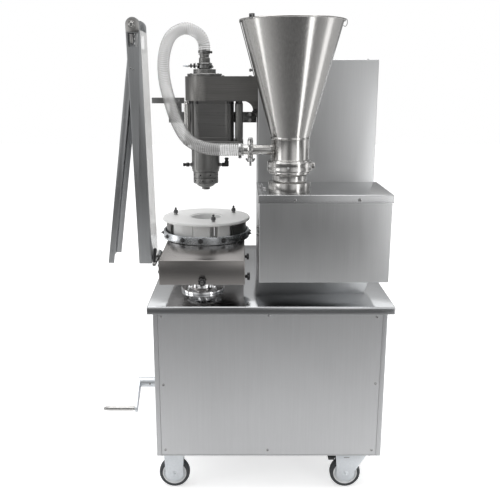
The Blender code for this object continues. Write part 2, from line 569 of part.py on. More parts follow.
# spindle: hollow shaft, pulley, two lock rings and the nose
spindle_housing = turned(
    "spindle_housing",
    [(0.0136, 0.0942), (0.0450, 0.0942), (0.0468, 0.0920), (0.0468, 0.0070), (0.0460, 0.0060),
     (0.0460, 0.0000), (0.0136, 0.0000)],
    (HEAD_X, HEAD_Y, 1.0046), CAST, steps=28)
turned("spindle_shaft",
       [(0.0080, 1.3160), (0.0125, 1.3160), (0.0125, 1.0000), (0.0200, 0.9985), (0.0200, 0.9905),
        (0.0110, 0.9885), (0.0110, 0.9440), (0.0080, 0.9440)],
       (HEAD_X, HEAD_Y, 0), STEEL, steps=16)


lock_rings = turned("lock_rings",
                    [(0.0206, 1.0043), (0.0415, 1.0043), (0.0424, 1.0033), (0.0424, 0.9853),
                     (0.0405, 0.9847), (0.0405, 0.9839), (0.0424, 0.9833), (0.0424, 0.9656),
                     (0.0415, 0.9646), (0.0206, 0.9646)], (HEAD_X, HEAD_Y, 0), CAST, steps=24)
for z, turn in ((0.9945, 0), (0.9745, 12)):
    for k, degrees in enumerate((-112, -66, 95)):
        a = math.radians(degrees + turn)
        cut(lock_rings, rod("lock_ring_hole", 0.0027,
                            (HEAD_X + 0.0340 * math.cos(a), HEAD_Y + 0.0340 * math.sin(a), z),
                            (HEAD_X + 0.0500 * math.cos(a), HEAD_Y + 0.0500 * math.sin(a), z),
                            segments=6, helper=True))
turned("spindle_nose",
       [(0.0114, 0.9643), (0.0330, 0.9643), (0.0290, 0.9560), (0.0165, 0.9500), (0.0135, 0.9490),
        (0.0135, 0.9426), (0.0114, 0.9426)],
       (HEAD_X, HEAD_Y, 0), CAST, steps=20)


def pulley(name, x, radius, bore, z, height):
    return turned(name, [(bore, height), (radius + 0.0030, height), (radius + 0.0030, height - 0.002),
                         (radius, height - 0.002), (radius, 0.002), (radius + 0.0030, 0.002),
                         (radius + 0.0030, 0), (bore, 0)], (x, HEAD_Y, z), STEEL, steps=20)


PULLEY_Z, PULLEY_H = 1.2560, 0.0220
R_SPINDLE, R_MOTOR = 0.0280, 0.0160
pulley("spindle_pulley", HEAD_X, R_SPINDLE, 0.0128, PULLEY_Z, PULLEY_H)
motor_pulley = pulley("motor_pulley", MOTOR_X, R_MOTOR, 0.0066, PULLEY_Z, PULLEY_H)
belt_out = slot_points((HEAD_X, HEAD_Y), (MOTOR_X, HEAD_Y), R_SPINDLE + 0.0028, R_MOTOR + 0.0028, 14)
belt_in = slot_points((HEAD_X, HEAD_Y), (MOTOR_X, HEAD_Y), R_SPINDLE + 0.0010, R_MOTOR + 0.0010, 14)
plate("drive_belt", belt_out, 0.0150, (0, 0, PULLEY_Z + PULLEY_H / 2), BELT, holes=[belt_in[::-1]])

# air elbows screwed into the spindle housing
join(spindle_housing,
     rod("elbow_left", 0.0050, (HEAD_X - 0.0440, HEAD_Y, 1.0260),
         (HEAD_X - 0.0620, HEAD_Y, 1.0260), segments=10, helper=True),
     rod("elbow_left_body", 0.0075, (HEAD_X - 0.0560, HEAD_Y, 1.0250),
         (HEAD_X - 0.0770, HEAD_Y, 1.0300), segments=10, helper=True),
     rod("elbow_right", 0.0055, (HEAD_X + 0.0440, HEAD_Y, 1.0260),
         (HEAD_X + 0.0730, HEAD_Y, 1.0260), segments=10, helper=True),
     rod("elbow_right_up", 0.0075, (HEAD_X + 0.0700, HEAD_Y, 1.0195),
         (HEAD_X + 0.0720, HEAD_Y, 1.0500), segments=10, helper=True))

# bracket behind the head: a bar bolted to the tall housing, a strap and a square side bar
bracket = box("rear_bracket", (-0.3400, HEAD_Y + 0.0820, 1.1620), (-0.0368, HEAD_Y + 0.0900, 1.1980),
              STAINLESS_DARK)
join(bracket,
     box("bracket_strap", (-0.3350, HEAD_Y + 0.0820, 1.1900), (-0.2950, HEAD_Y + 0.0900, 1.2420),
         helper=True),
     box("bracket_side_bar", (-0.3970, HEAD_Y + 0.0810, 1.2270), (-0.2860, HEAD_Y + 0.1000, 1.2460),
         helper=True))
arm_knob = turned("arm_knob",
                  [(0.0000, 0.0200), (0.0070, 0.0200), (0.0095, 0.0170), (0.0095, 0.0080),
                   (0.0050, 0.0060), (0.0050, 0.0000), (0.0000, 0.0000)],
                  (-0.0455, HEAD_Y - 0.0453, 1.2060), BLACK, steps=12, along="-Y")

# ---------------------------------------------------------------- lifting table
turned("column_flange",
       [(0.0206, 0.0250), (0.0340, 0.0250), (0.0350, 0.0235), (0.0350, 0.0110), (0.0690, 0.0100),
        (0.0700, 0.0090), (0.0700, 0.0000), (0.0206, 0.0000)],
       (COL_X, COL_Y, TOP_Z + GAP), CHROME, steps=28)
SCREW_TOP = 0.5900
turned("lift_column",
       [(0.0000, TBL_Z0 - GAP), (0.0560, TBL_Z0 - GAP), (0.0560, TBL_Z0 - 0.0050),
        (0.0202, TBL_Z0 - 0.0060), (0.0202, 0.4700), (0.0088, 0.4700), (0.0088, 0.6300),
        (0.0000, 0.6300)],
       (COL_X, COL_Y, 0), CHROME, steps=20)
screw = turned("lift_screw",
               [(0.0000, SCREW_TOP), (0.0080, SCREW_TOP - 0.0010), (0.0080, 0.3900),
                (0.0140, 0.3880), (0.0140, 0.3710), (0.0095, 0.3700), (0.0095, 0.3610),
                (0.0140, 0.3600), (0.0140, 0.3540), (0.0200, 0.3535), (0.0310, 0.3450),
                (0.0250, 0.3390), (0.0000, 0.3390)],
               (COL_X, COL_Y, 0), STEEL, steps=16)

# crank: bevel pinion, shaft, boss and arm; the grip spins on it
CRANK_X = -0.4360
crank = turned("crank",
               [(0.0000, 0.1900), (0.0200, 0.1900), (0.0300, 0.1835), (0.0245, 0.1770),
                (0.0110, 0.1765), (0.0110, 0.0755), (0.0165, 0.0750), (0.0165, 0.0000),
                (0.0000, 0.0000)],
               (CRANK_X, COL_Y, CRANK_Z), ZINC, steps=16, along="X")
join(crank, plate("crank_web", slot_points((COL_Y, CRANK_Z), CRANK_ARM_END, 0.0165, 0.0120, 7),
                  0.0080, (CRANK_X + 0.0040, 0, 0), rotation=(math.pi / 2, 0, math.pi / 2),
                  helper=True),
     rod("crank_pin", 0.0040, (CRANK_X + 0.0020, *CRANK_ARM_END), (CRANK_GRIP_END + 0.0010, *CRANK_ARM_END),
         segments=12, helper=True),
     rod("crank_pin_head", 0.0060, (CRANK_GRIP_END + 0.0040, *CRANK_ARM_END),
         (CRANK_GRIP_END, *CRANK_ARM_END), segments=12, helper=True))
turned("crank_grip",
       [(0.0044, 0.0960), (0.0068, 0.0960), (0.0078, 0.0860), (0.0078, 0.0120), (0.0068, 0.0000),
        (0.0044, 0.0000)],
       (CRANK_X - 0.0006 - 0.0003, *CRANK_ARM_END), ZINC, steps=14, along="-X")

table = box("table_box", (TBL_X0, TBL_Y0, TBL_Z0), (TBL_X1, TBL_Y1, TBL_Z1), STAINLESS,
            drop=("+y",))
solidify(table, SHEET)
cut(table, rod("cut_table_hub", 0.0200, (HEAD_X, HEAD_Y, TBL_Z1 - 0.02), (HEAD_X, HEAD_Y, TBL_Z1 + 0.02),
               helper=True))
table_motor = rod("table_motor", 0.0420, (HEAD_X, HEAD_Y, TBL_Z0 + SHEET + GAP),
                  (HEAD_X, HEAD_Y, 0.7440), MOTOR, segments=20)
cut(table_motor, rod("table_motor_bore", 0.0086, (HEAD_X, HEAD_Y, 0.7200), (HEAD_X, HEAD_Y, 0.7600),
                     segments=20, helper=True))
ring = turned("clamp_ring",
              [(0.0000, 0.7990), (0.0300, 0.7990), (0.0310, 0.7892), (0.1420, 0.7892),
               (0.1420, RING_Z1), (RING_R, RING_Z1), (RING_R, RING_Z0), (0.1420, RING_Z0),
               (0.1420, 0.7850), (0.0150, 0.7850), (0.0150, 0.7600), (0.0080, 0.7590),
               (0.0080, 0.7300), (0.0000, 0.7300)],
              (HEAD_X, HEAD_Y, 0), STAINLESS, steps=32)
for k, degrees in enumerate((-95, -65, -120, -145, -35, -15, 20, 60, 100, 140, 180)):
    a = math.radians(degrees)
    if degrees in (-95, -65, -120, -35):
        join(ring, rod("ring_screw_%d" % k, 0.0060,
                       (HEAD_X + 0.1460 * math.cos(a), HEAD_Y + 0.1460 * math.sin(a), 0.7925),
                       (HEAD_X + 0.1560 * math.cos(a), HEAD_Y + 0.1560 * math.sin(a), 0.7925),
                       segments=6, helper=True))

# capsule drum: a hub ring with lobes between the two plates
LOBES = 8
drum_points = []
for i in range(LOBES * 8):
    a = 2 * math.pi * i / (LOBES * 8)
    drum_points.append((0.1150 + 0.0160 * min(1.0, max(-1.0, 1.8 * math.cos(LOBES * a))), a))
plate("capsule_drum", [(HEAD_X + r * math.cos(a), HEAD_Y + r * math.sin(a)) for r, a in drum_points],
      DISC_Z0 - 0.7898, (0, 0, (DISC_Z0 - GAP + 0.7895) / 2), WHITE,
      holes=[ring_points(DISC_HOLE_R, 28, (HEAD_X, HEAD_Y))[::-1]])
turned("turntable_disc",
       [(DISC_HOLE_R, DISC_Z1), (DISC_R - 0.0010, DISC_Z1), (DISC_R, DISC_Z1 - 0.0010),
        (DISC_R, DISC_Z0 + 0.0005), (DISC_R - 0.0005, DISC_Z0), (DISC_HOLE_R, DISC_Z0)],
       (HEAD_X, HEAD_Y, 0), WHITE, steps=32)
for tag, degrees in zip("abc", FINIAL_DEG):
    a = math.radians(degrees)
    turned("disc_knob_" + tag,
           [(0.0000, 0.0260), (0.0028, 0.0250), (0.0042, 0.0200), (0.0055, 0.0170), (0.0072, 0.0120),
            (0.0072, 0.0050), (0.0050, 0.0030), (0.0062, 0.0000), (0.0000, 0.0000)],
           (HEAD_X + FINIAL_R * math.cos(a), HEAD_Y + FINIAL_R * math.sin(a), DISC_Z1 + GAP),
           BLACK, steps=12)


def star_knob(name, at, along, radius=0.0130, height=0.0200):
    return turned(name,
                  [(0.0000, height), (radius * 0.5, height), (radius, height * 0.75),
                   (radius, height * 0.45), (radius * 0.45, height * 0.30),
                   (radius * 0.45, 0.0000), (0.0000, 0.0000)],
                  at, BLACK, steps=12, along=along)


star_knob("front_knob", (-0.2080, TBL_Y0 - GAP, 0.7130), "-Y")
star_knob("side_knob_front", (TBL_X1 + GAP, 0.0700, 0.7180), "X", 0.0100, 0.0160)
star_knob("side_knob_rear", (TBL_X1 + GAP, 0.1900, 0.7500), "X", 0.0085, 0.0140)

# ---------------------------------------------------------------- folding guard
# Base bracket on the table box's left side, a hinge along Y, then two leaves.
HINGE_X, HINGE_Z = -0.3500, 0.7700
bracket_plate = box("guard_bracket", (-0.3466, 0.0900, 0.7150), (TBL_X0 - GAP, 0.1700, 0.7720),
                    STAINLESS_DARK)
join(bracket_plate,
     rod("guard_hinge_lug_a", 0.0095, (HINGE_X, 0.0960, HINGE_Z), (HINGE_X, 0.1080, HINGE_Z),
         segments=16, helper=True),
     rod("guard_hinge_lug_b", 0.0095, (HINGE_X, 0.1520, HINGE_Z), (HINGE_X, 0.1640, HINGE_Z),
         segments=16, helper=True),
     box("guard_hinge_web_a", (HINGE_X - 0.0010, 0.0960, HINGE_Z - 0.0090), (-0.3420, 0.1080, HINGE_Z - 0.0010),
         helper=True),
     box("guard_hinge_web_b", (HINGE_X - 0.0010, 0.1520, HINGE_Z - 0.0090), (-0.3420, 0.1640, HINGE_Z - 0.0010),
         helper=True))
cut(bracket_plate, box("cut_bracket_notch", (-0.3700, 0.1085, 0.7588), (-0.3300, 0.1515, 0.8000),
                       helper=True))
join(bracket_plate, rod("guard_hinge_pin", 0.0040, (HINGE_X, 0.0300, HINGE_Z),
                        (HINGE_X, 0.1680, HINGE_Z), segments=12, helper=True))

A_LO, A_HI = (-0.3810, 0.7620), (-0.3950, LEAF_PIVOT_Z)        # mid-line of the inner leaf
A_HALF = 0.0190


def leaf_outline(low, high, half_low, half_high, cap_r=None, n=8):
    points = [(low[0] - half_low, low[1]), (low[0] + half_low, low[1])]
    points += [(high[0] + half_high * math.cos(math.pi * i / n), high[1] + half_high * math.sin(math.pi * i / n))
               for i in range(n + 1)]
    return points


# inner leaf: two side flanges joined by a web, open towards the outer leaf
MID_Y = (LEAF_Y0 + LEAF_Y1) / 2
DEPTH = LEAF_Y1 - LEAF_Y0
inner_leaf = plate("guard_leaf_inner", leaf_outline(A_LO, A_HI, A_HALF, 0.0200), DEPTH,
                   (0, MID_Y, 0), CLEAR, rotation=(math.pi / 2, 0, 0))
cut(inner_leaf,
    plate("cut_inner_leaf",
          [(-0.4300, 0.7400), (A_LO[0] + A_HALF - 0.0020, 0.7400),
           (A_HI[0] + 0.0180, 1.3900), (-0.4300, 1.3900)],
          DEPTH - 0.0050, (0, MID_Y, 0), rotation=(math.pi / 2, 0, 0), helper=True),
    box("cut_inner_tongue", (-0.4300, LEAF_Y0 + 0.0190, 1.3800), (-0.3600, LEAF_Y1 - 0.0190, 1.5000),
        helper=True),
    box("cut_inner_window", (-0.4005, 0.0, 1.3985), (-0.3800, 0.3, 1.4320), helper=True))
join(inner_leaf,
     box("leaf_hinge_arm", (HINGE_X - 0.0155, 0.1095, HINGE_Z - 0.0050), (HINGE_X - 0.0060, 0.1505, HINGE_Z + 0.0300),
         helper=True),
     rod("leaf_hinge_eye", 0.0090, (HINGE_X, 0.1090, HINGE_Z), (HINGE_X, 0.1510, HINGE_Z),
         segments=16, helper=True),
     rod("leaf_pivot_pin", 0.0040, (LEAF_PIVOT_X, LEAF_Y0 - 0.0030, LEAF_PIVOT_Z),
         (LEAF_PIVOT_X, LEAF_Y1 + 0.0030, LEAF_PIVOT_Z), segments=12, helper=True),
     rod("leaf_pivot_head", 0.0075, (LEAF_PIVOT_X, LEAF_Y0 - 0.0040, LEAF_PIVOT_Z),
         (LEAF_PIVOT_X, LEAF_Y0 + 0.0020, LEAF_PIVOT_Z), segments=12, helper=True))
cut(inner_leaf, rod("cut_leaf_eye", 0.0045, (HINGE_X, 0.08, HINGE_Z), (HINGE_X, 0.18, HINGE_Z),
                    segments=14, helper=True))

B_SLOPE = 0.1353                               # lean of the outer leaf at rest


def b_left(z):
    return -0.4946 + B_SLOPE * (z - 0.7630)


B_W, B_TOP = 0.0170, 1.3750
outer_leaf = plate("guard_leaf_outer",
                   [(b_left(0.7630), 0.7630), (b_left(0.7630) + B_W, 0.7630),
                    (b_left(B_TOP) + B_W, B_TOP), (b_left(B_TOP), B_TOP)],
                   DEPTH - 0.0070, (0, MID_Y, 0), CLEAR, rotation=(math.pi / 2, 0, 0))
cut(outer_leaf,
    plate("cut_outer_leaf",
          [(b_left(0.7400) + 0.0020, 0.7400), (b_left(0.7400) + 0.0500, 0.7400),
           (b_left(1.3600) + 0.0500, 1.3600), (b_left(1.3600) + 0.0020, 1.3600)],
          DEPTH - 0.0120, (0, MID_Y, 0), rotation=(math.pi / 2, 0, 0), helper=True))
join(outer_leaf,
     plate("outer_tongue", slot_points((-0.4040, 1.3600), (LEAF_PIVOT_X, LEAF_PIVOT_Z), 0.0078, 0.0140),
           DEPTH - 0.0390, (0, MID_Y, 0), rotation=(math.pi / 2, 0, 0), helper=True))
cut(outer_leaf,
    rod("cut_outer_pivot", 0.0045, (LEAF_PIVOT_X, 0.0, LEAF_PIVOT_Z), (LEAF_PIVOT_X, 0.3, LEAF_PIVOT_Z),
        segments=14, helper=True))

guard_lever = turned("guard_lever",
                     [(0.0000, 0.0140), (0.0080, 0.0140), (0.0090, 0.0000), (0.0000, 0.0000)],
                     (HINGE_X, 0.0296, HINGE_Z), BLACK, steps=12, along="-Y")
join(guard_lever, plate("guard_lever_paddle",
                        slot_points((HINGE_X, HINGE_Z), (HINGE_X + 0.0040, HINGE_Z + 0.0450), 0.0070,
                                    0.0050, 5), 0.0070, (0, 0.0200, 0),
                        rotation=(math.pi / 2, 0, 0), helper=True))

# ------------------------------------------------------------- transfer hose
HOSE_R = 0.0190
HOSE_ROUTE = [(HEAD_X, HEAD_Y, 1.4060), (HEAD_X - 0.0010, HEAD_Y, 1.4200),
              (-0.2270, 0.3660, 1.4500), (-0.2700, 0.3580, 1.4695), (-0.3150, 0.3460, 1.4430),
              (-0.3370, 0.3300, 1.3850), (-0.3370, 0.3080, 1.3150), (-0.3180, 0.2650, 1.2450),
              (-0.2870, 0.2050, 1.1730), (-0.2470, 0.1480, 1.1250), (-0.1930, 0.1120, 1.1060),
              (-0.1400, 0.0980, 1.1030), (-0.1160, HOP_Y, PORT_Z), (-0.1040, HOP_Y, PORT_Z)]
tube_curve("transfer_hose",
           [(HEAD_X, HEAD_Y, 1.3990)] + through(HOSE_ROUTE, 28) + [(-0.0963, HOP_Y, PORT_Z)],
           HOSE_R, HOSE, resolution=2)
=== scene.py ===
"""Looks of the semi-automatic capsule filler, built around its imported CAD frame.

Lengths are metres.  M(x, y, z) turns machine coordinates (x = 0 on the worktop's
centre line, y = 0 on its front edge, z = 0 on the floor) into the row frame.
"""
import json
import math

import bmesh
import bpy
from mathutils import Matrix, Vector

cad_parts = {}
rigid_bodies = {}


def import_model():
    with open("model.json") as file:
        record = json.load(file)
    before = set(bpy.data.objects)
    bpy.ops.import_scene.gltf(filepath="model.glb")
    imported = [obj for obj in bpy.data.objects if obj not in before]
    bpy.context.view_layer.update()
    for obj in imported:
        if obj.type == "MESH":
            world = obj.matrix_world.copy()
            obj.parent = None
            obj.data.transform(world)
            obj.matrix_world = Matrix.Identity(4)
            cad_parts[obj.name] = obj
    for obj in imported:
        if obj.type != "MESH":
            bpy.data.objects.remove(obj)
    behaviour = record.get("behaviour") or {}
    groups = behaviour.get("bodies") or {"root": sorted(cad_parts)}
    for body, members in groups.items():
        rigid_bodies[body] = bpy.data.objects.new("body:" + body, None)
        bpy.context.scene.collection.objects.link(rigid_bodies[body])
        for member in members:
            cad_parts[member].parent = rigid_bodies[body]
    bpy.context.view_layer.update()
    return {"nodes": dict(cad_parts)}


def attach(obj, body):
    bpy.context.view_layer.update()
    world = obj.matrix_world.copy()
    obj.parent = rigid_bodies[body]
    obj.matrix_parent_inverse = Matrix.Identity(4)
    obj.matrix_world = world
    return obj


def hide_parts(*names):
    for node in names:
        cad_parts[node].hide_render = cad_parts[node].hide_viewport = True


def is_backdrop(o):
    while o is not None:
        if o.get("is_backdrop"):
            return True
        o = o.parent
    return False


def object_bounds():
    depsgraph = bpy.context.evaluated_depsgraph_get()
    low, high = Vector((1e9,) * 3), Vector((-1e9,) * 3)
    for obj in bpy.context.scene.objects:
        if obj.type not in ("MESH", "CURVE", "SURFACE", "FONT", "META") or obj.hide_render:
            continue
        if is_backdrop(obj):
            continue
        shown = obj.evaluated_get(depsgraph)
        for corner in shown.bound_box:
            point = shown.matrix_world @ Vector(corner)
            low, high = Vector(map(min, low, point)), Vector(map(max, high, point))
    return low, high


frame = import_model()
scene = bpy.context.scene

OX, OY = 0.0815, -0.3700
FRAME_MOVE = Matrix.Translation((OX, OY, 0.0))


def M(x, y, z):
    return Vector((x + OX, y + OY, z))


# ------------------------------------------------------------------ camera
cam_data = bpy.data.cameras.new("camera")
cam_data.lens = 48.96
cam_data.sensor_width = 36.0
cam_data.shift_x = 0.0184
cam_data.clip_start = 0.05
cam_data.clip_end = 60.0
camera = bpy.data.objects.new("camera", cam_data)
camera.location = M(-0.0910, -1.9425, 1.3025)
camera.rotation_euler = (math.radians(76.02), 0.0, 0.0)
scene.collection.objects.link(camera)
scene.camera = camera

work = bpy.data.collections.new("work")
scene.collection.children.link(work)
GAP = 0.0003


# --------------------------------------------------------------- materials
def new_material(name):
    made = bpy.data.materials.new(name)
    made.use_nodes = True
    tree = made.node_tree
    shader = tree.nodes["Principled BSDF"]
    return made, tree, shader


def put(tree, kind, **values):
    made = tree.nodes.new(kind)
    for key, value in values.items():
        if key in made.inputs.keys():
            made.inputs[key].default_value = value
        else:
            setattr(made, key, value)
    return made


def coords(tree, scale):
    where = put(tree, "ShaderNodeTexCoord")
    mapping = put(tree, "ShaderNodeMapping")
    mapping.inputs["Scale"].default_value = scale
    tree.links.new(where.outputs["Object"], mapping.inputs["Vector"])
    return mapping.outputs["Vector"]


def noise(tree, vector, detail=4.0, rough=0.6, scale=1.0):
    made = put(tree, "ShaderNodeTexNoise", Scale=scale, Detail=detail, Roughness=rough)
    tree.links.new(vector, made.inputs["Vector"])
    return made.outputs["Fac"]


def span(tree, value, low, high, from_low=0.3, from_high=0.7):
    made = put(tree, "ShaderNodeMapRange")
    made.inputs["From Min"].default_value = from_low
    made.inputs["From Max"].default_value = from_high
    made.inputs["To Min"].default_value = low
    made.inputs["To Max"].default_value = high
    tree.links.new(value, made.inputs["Value"])
    return made.outputs["Result"]


def times(tree, a, b):
    made = put(tree, "ShaderNodeMath", operation="MULTIPLY")
    for value, socket in ((a, made.inputs[0]), (b, made.inputs[1])):
        if isinstance(value, float):
            socket.default_value = value
        else:
            tree.links.new(value, socket)
    return made.outputs[0]


def tinted(tree, colour, factor):
    """colour times a factor that varies over the surface."""
    made = put(tree, "ShaderNodeVectorMath", operation="SCALE")
    made.inputs[0].default_value = colour
    tree.links.new(factor, made.inputs["Scale"])
    return made.outputs["Vector"]


def bump(tree, shader, height, strength, distance):
    made = put(tree, "ShaderNodeBump", Strength=strength, Distance=distance)
    tree.links.new(height, made.inputs["Height"])
    tree.links.new(made.outputs["Normal"], shader.inputs["Normal"])


def edge_wear(tree):
    """Brighter where the surface is convex."""
    geometry = put(tree, "ShaderNodeNewGeometry")
    return span(tree, geometry.outputs["Pointiness"], 1.0, 1.25, 0.52, 0.60)


def metal(name, colour, rough, grain="Z", streak=0.10, cloud=0.10, metallic=1.0,
          rough_spread=0.06, grain_bump=0.04, coat=0.0):
    """Brushed or turned metal: fine streaks along one axis over slow clouds."""
    made, tree, shader = new_material(name)
    fine = {"X": (7.0, 330.0, 330.0), "Y": (330.0, 7.0, 330.0), "Z": (330.0, 330.0, 7.0),
            "": (160.0, 160.0, 160.0)}[grain]
    wide = {"X": (2.0, 40.0, 40.0), "Y": (40.0, 2.0, 40.0), "Z": (40.0, 40.0, 2.0),
            "": (22.0, 22.0, 22.0)}[grain]
    lines = noise(tree, coords(tree, fine), 5.0, 0.65)
    bands = noise(tree, coords(tree, wide), 3.0, 0.55)
    clouds = noise(tree, coords(tree, (3.1, 3.1, 3.1)), 3.0, 0.5)
    factor = times(tree, span(tree, lines, 1.0 - streak, 1.0 + streak),
                   times(tree, span(tree, bands, 1.0 - streak * 0.3, 1.0 + streak * 0.3),
                         span(tree, clouds, 1.0 - cloud, 1.0 + cloud)))
    tree.links.new(tinted(tree, colour, factor), shader.inputs["Base Color"])
    tree.links.new(span(tree, lines, rough - rough_spread, rough + rough_spread),
                   shader.inputs["Roughness"])
    shader.inputs["Metallic"].default_value = metallic
    if coat:
        shader.inputs["Coat Weight"].default_value = coat
        shader.inputs["Coat Roughness"].default_value = 0.12
    bump(tree, shader, lines, grain_bump, 0.0004)
    return made


def plastic(name, colour, rough, grain=520.0, depth=0.10, spread=0.10, cloud=0.05, coat=0.0,
            subsurface=0.0):
    """Moulded plastic or rubber: fine pebble, slow tone changes."""
    made, tree, shader = new_material(name)
    pebble = noise(tree, coords(tree, (grain, grain, grain)), 3.0, 0.5)
    clouds = noise(tree, coords(tree, (14.0, 14.0, 14.0)), 3.0, 0.5)
    factor = times(tree, span(tree, pebble, 1.0 - spread * 0.5, 1.0 + spread * 0.5),
                   span(tree, clouds, 1.0 - cloud, 1.0 + cloud))
    tree.links.new(tinted(tree, colour, factor), shader.inputs["Base Color"])
    tree.links.new(span(tree, clouds, rough - 0.05, rough + 0.05), shader.inputs["Roughness"])
    shader.inputs["Metallic"].default_value = 0.0
    if coat:
        shader.inputs["Coat Weight"].default_value = coat
        shader.inputs["Coat Roughness"].default_value = 0.10
    if subsurface:
        shader.inputs["Subsurface Weight"].default_value = subsurface
        shader.inputs["Subsurface Radius"].default_value = (0.003, 0.003, 0.003)
    bump(tree, shader, pebble, depth, 0.0003)
    return made


def clear(name, colour, alpha, rough):
    made, tree, shader = new_material(name)
    clouds = noise(tree, coords(tree, (60.0, 60.0, 60.0)), 3.0, 0.5)
    tree.links.new(tinted(tree, colour, span(tree, clouds, 0.95, 1.05)),
                   shader.inputs["Base Color"])
    tree.links.new(span(tree, clouds, rough - 0.04, rough + 0.04), shader.inputs["Roughness"])
    shader.inputs["Alpha"].default_value = alpha
    shader.inputs["Coat Weight"].default_value = 0.6
    shader.inputs["Coat Roughness"].default_value = 0.05
    bump(tree, shader, clouds, 0.05, 0.0005)
    return made


PANEL = metal("panel_steel", (0.630, 0.635, 0.645), 0.34, "Z", 0.025, 0.03, rough_spread=0.02)
CABINET = metal("cabinet_steel", (0.600, 0.605, 0.615), 0.32, "Z", 0.03, 0.03, rough_spread=0.02)
TOP = metal("worktop_steel", (0.680, 0.692, 0.705), 0.11, "X", 0.04, 0.03, rough_spread=0.02,
            grain_bump=0.02)
HOUSE = metal("housing_steel", (0.540, 0.545, 0.550), 0.34, "Z", 0.03, 0.02, rough_spread=0.03)
LID = metal("lid_steel", (0.540, 0.545, 0.550), 0.22, "X", 0.04, 0.03, rough_spread=0.02)
TABLE = metal("table_steel", (0.340, 0.325, 0.315), 0.25, "X", 0.03, 0.02, rough_spread=0.01,
              grain_bump=0.02)
POLISHED = metal("polished_steel", (0.500, 0.492, 0.480), 0.19, "Z", 0.10, 0.05, rough_spread=0.04)
TURNED = metal("turned_steel", (0.560, 0.555, 0.545), 0.24, "", 0.10, 0.06)
CHROME = metal("chrome", (0.800, 0.800, 0.805), 0.05, "", 0.02, 0.02, rough_spread=0.02,
               grain_bump=0.01)
ARM = metal("arm_grey", (0.205, 0.201, 0.194), 0.34, "X", 0.14, 0.06, metallic=0.85)
CASE = metal("casing_dark", (0.185, 0.184, 0.181), 0.33, "X", 0.12, 0.06, metallic=0.9,
             coat=0.1)
HEAD = metal("head_grey", (0.230, 0.229, 0.224), 0.37, "Z", 0.08, 0.06, metallic=0.95)
BRACKET = metal("bracket_steel", (0.240, 0.240, 0.238), 0.30, "X", 0.08, 0.08)
GUARD = metal("guard_steel", (0.430, 0.440, 0.448), 0.30, "Z", 0.06, 0.04, rough_spread=0.03,
              grain_bump=0.008)
ZINC = metal("zinc_plate", (0.760, 0.790, 0.820), 0.34, "", 0.05, 0.08)
BOLT = metal("bolt_steel", (0.420, 0.420, 0.420), 0.26, "", 0.12, 0.10)
BAND = metal("ring_steel", (0.560, 0.580, 0.600), 0.26, "", 0.05, 0.04)
WIRE = metal("helix_wire", (0.070, 0.069, 0.068), 0.45, "", 0.05, 0.05, metallic=0.3)
GREY = metal("knob_grey", (0.110, 0.110, 0.112), 0.30, "", 0.06, 0.05, metallic=0.7)
BLACK = plastic("black_plastic", (0.018, 0.018, 0.019), 0.34, coat=0.3)
TYRE = plastic("tyre_rubber", (0.052, 0.056, 0.060), 0.62, depth=0.25)
HUB = plastic("hub_plastic", (0.880, 0.900, 0.915), 0.42)
RIM = plastic("rim_plastic", (0.920, 0.925, 0.930), 0.40)
ACETAL = plastic("white_acetal", (0.900, 0.900, 0.890), 0.38, subsurface=0.05)
DISC = metal("disc_satin", (0.900, 0.900, 0.892), 0.38, "", 0.03, 0.03, metallic=0.25,
             grain_bump=0.02)
PVC = clear("hose_pvc", (0.960, 0.960, 0.950), 0.30, 0.10)
SHEET = clear("guard_sheet", (0.960, 0.955, 0.945), 0.42, 0.86)
# painted light: the guard sheet glows with a faint white emission so that it reads bright, though it is no
# lamp
film_glow_shader = SHEET.node_tree.nodes["Principled BSDF"]
film_glow_shader.inputs["Emission Color"].default_value = (1.0, 0.995, 0.985, 1.0)
film_glow_shader.inputs["Emission Strength"].default_value = 0.30
MOTOR = plastic("motor_enamel", (0.090, 0.130, 0.170), 0.42, coat=0.2)
BELT = plastic("belt_rubber", (0.030, 0.030, 0.030), 0.75, depth=0.3)


# ------------------------------------------------------------ mesh helpers
def fillet(points, radius, closed=True, seg=3, least=25.0):
    """Rounds the corners of an outline by at most that radius."""
    count, out = len(points), []
    for i, p in enumerate(points):
        if not closed and i in (0, count - 1):
            out.append(tuple(p))
            continue
        a, b, c = (Vector(points[i - 1]), Vector(p), Vector(points[(i + 1) % count]))
        u, v = a - b, c - b
        if u.length < 1e-7 or v.length < 1e-7:
            continue
        turn = math.degrees(math.pi - u.angle(v))
        if turn < least:
            out.append(tuple(p))
            continue
        reach = min(radius * math.tan(math.radians(turn) / 2), 0.42 * u.length, 0.42 * v.length)
        p0, p1 = b + u.normalized() * reach, b + v.normalized() * reach
        for k in range(seg + 1):
            t = k / seg
            out.append(tuple((1 - t) ** 2 * p0 + 2 * t * (1 - t) * b + t * t * p1))
    return out


def to_object(name, bm, mat, matrix=None):
    if matrix is not None:
        bmesh.ops.transform(bm, matrix=matrix, verts=bm.verts)
    mesh = bpy.data.meshes.new(name)
    bm.to_mesh(mesh)
    bm.free()
    made = bpy.data.objects.new(name, mesh)
    work.objects.link(made)
    if mat:
        mesh.materials.append(mat)
    return made


TURN = {"Z": Matrix.Identity(4), "-Z": Matrix.Rotation(math.pi, 4, "X"),
        "X": Matrix.Rotation(math.pi / 2, 4, "Y"), "-X": Matrix.Rotation(-math.pi / 2, 4, "Y"),
        "Y": Matrix.Rotation(-math.pi / 2, 4, "X"), "-Y": Matrix.Rotation(math.pi / 2, 4, "X")}


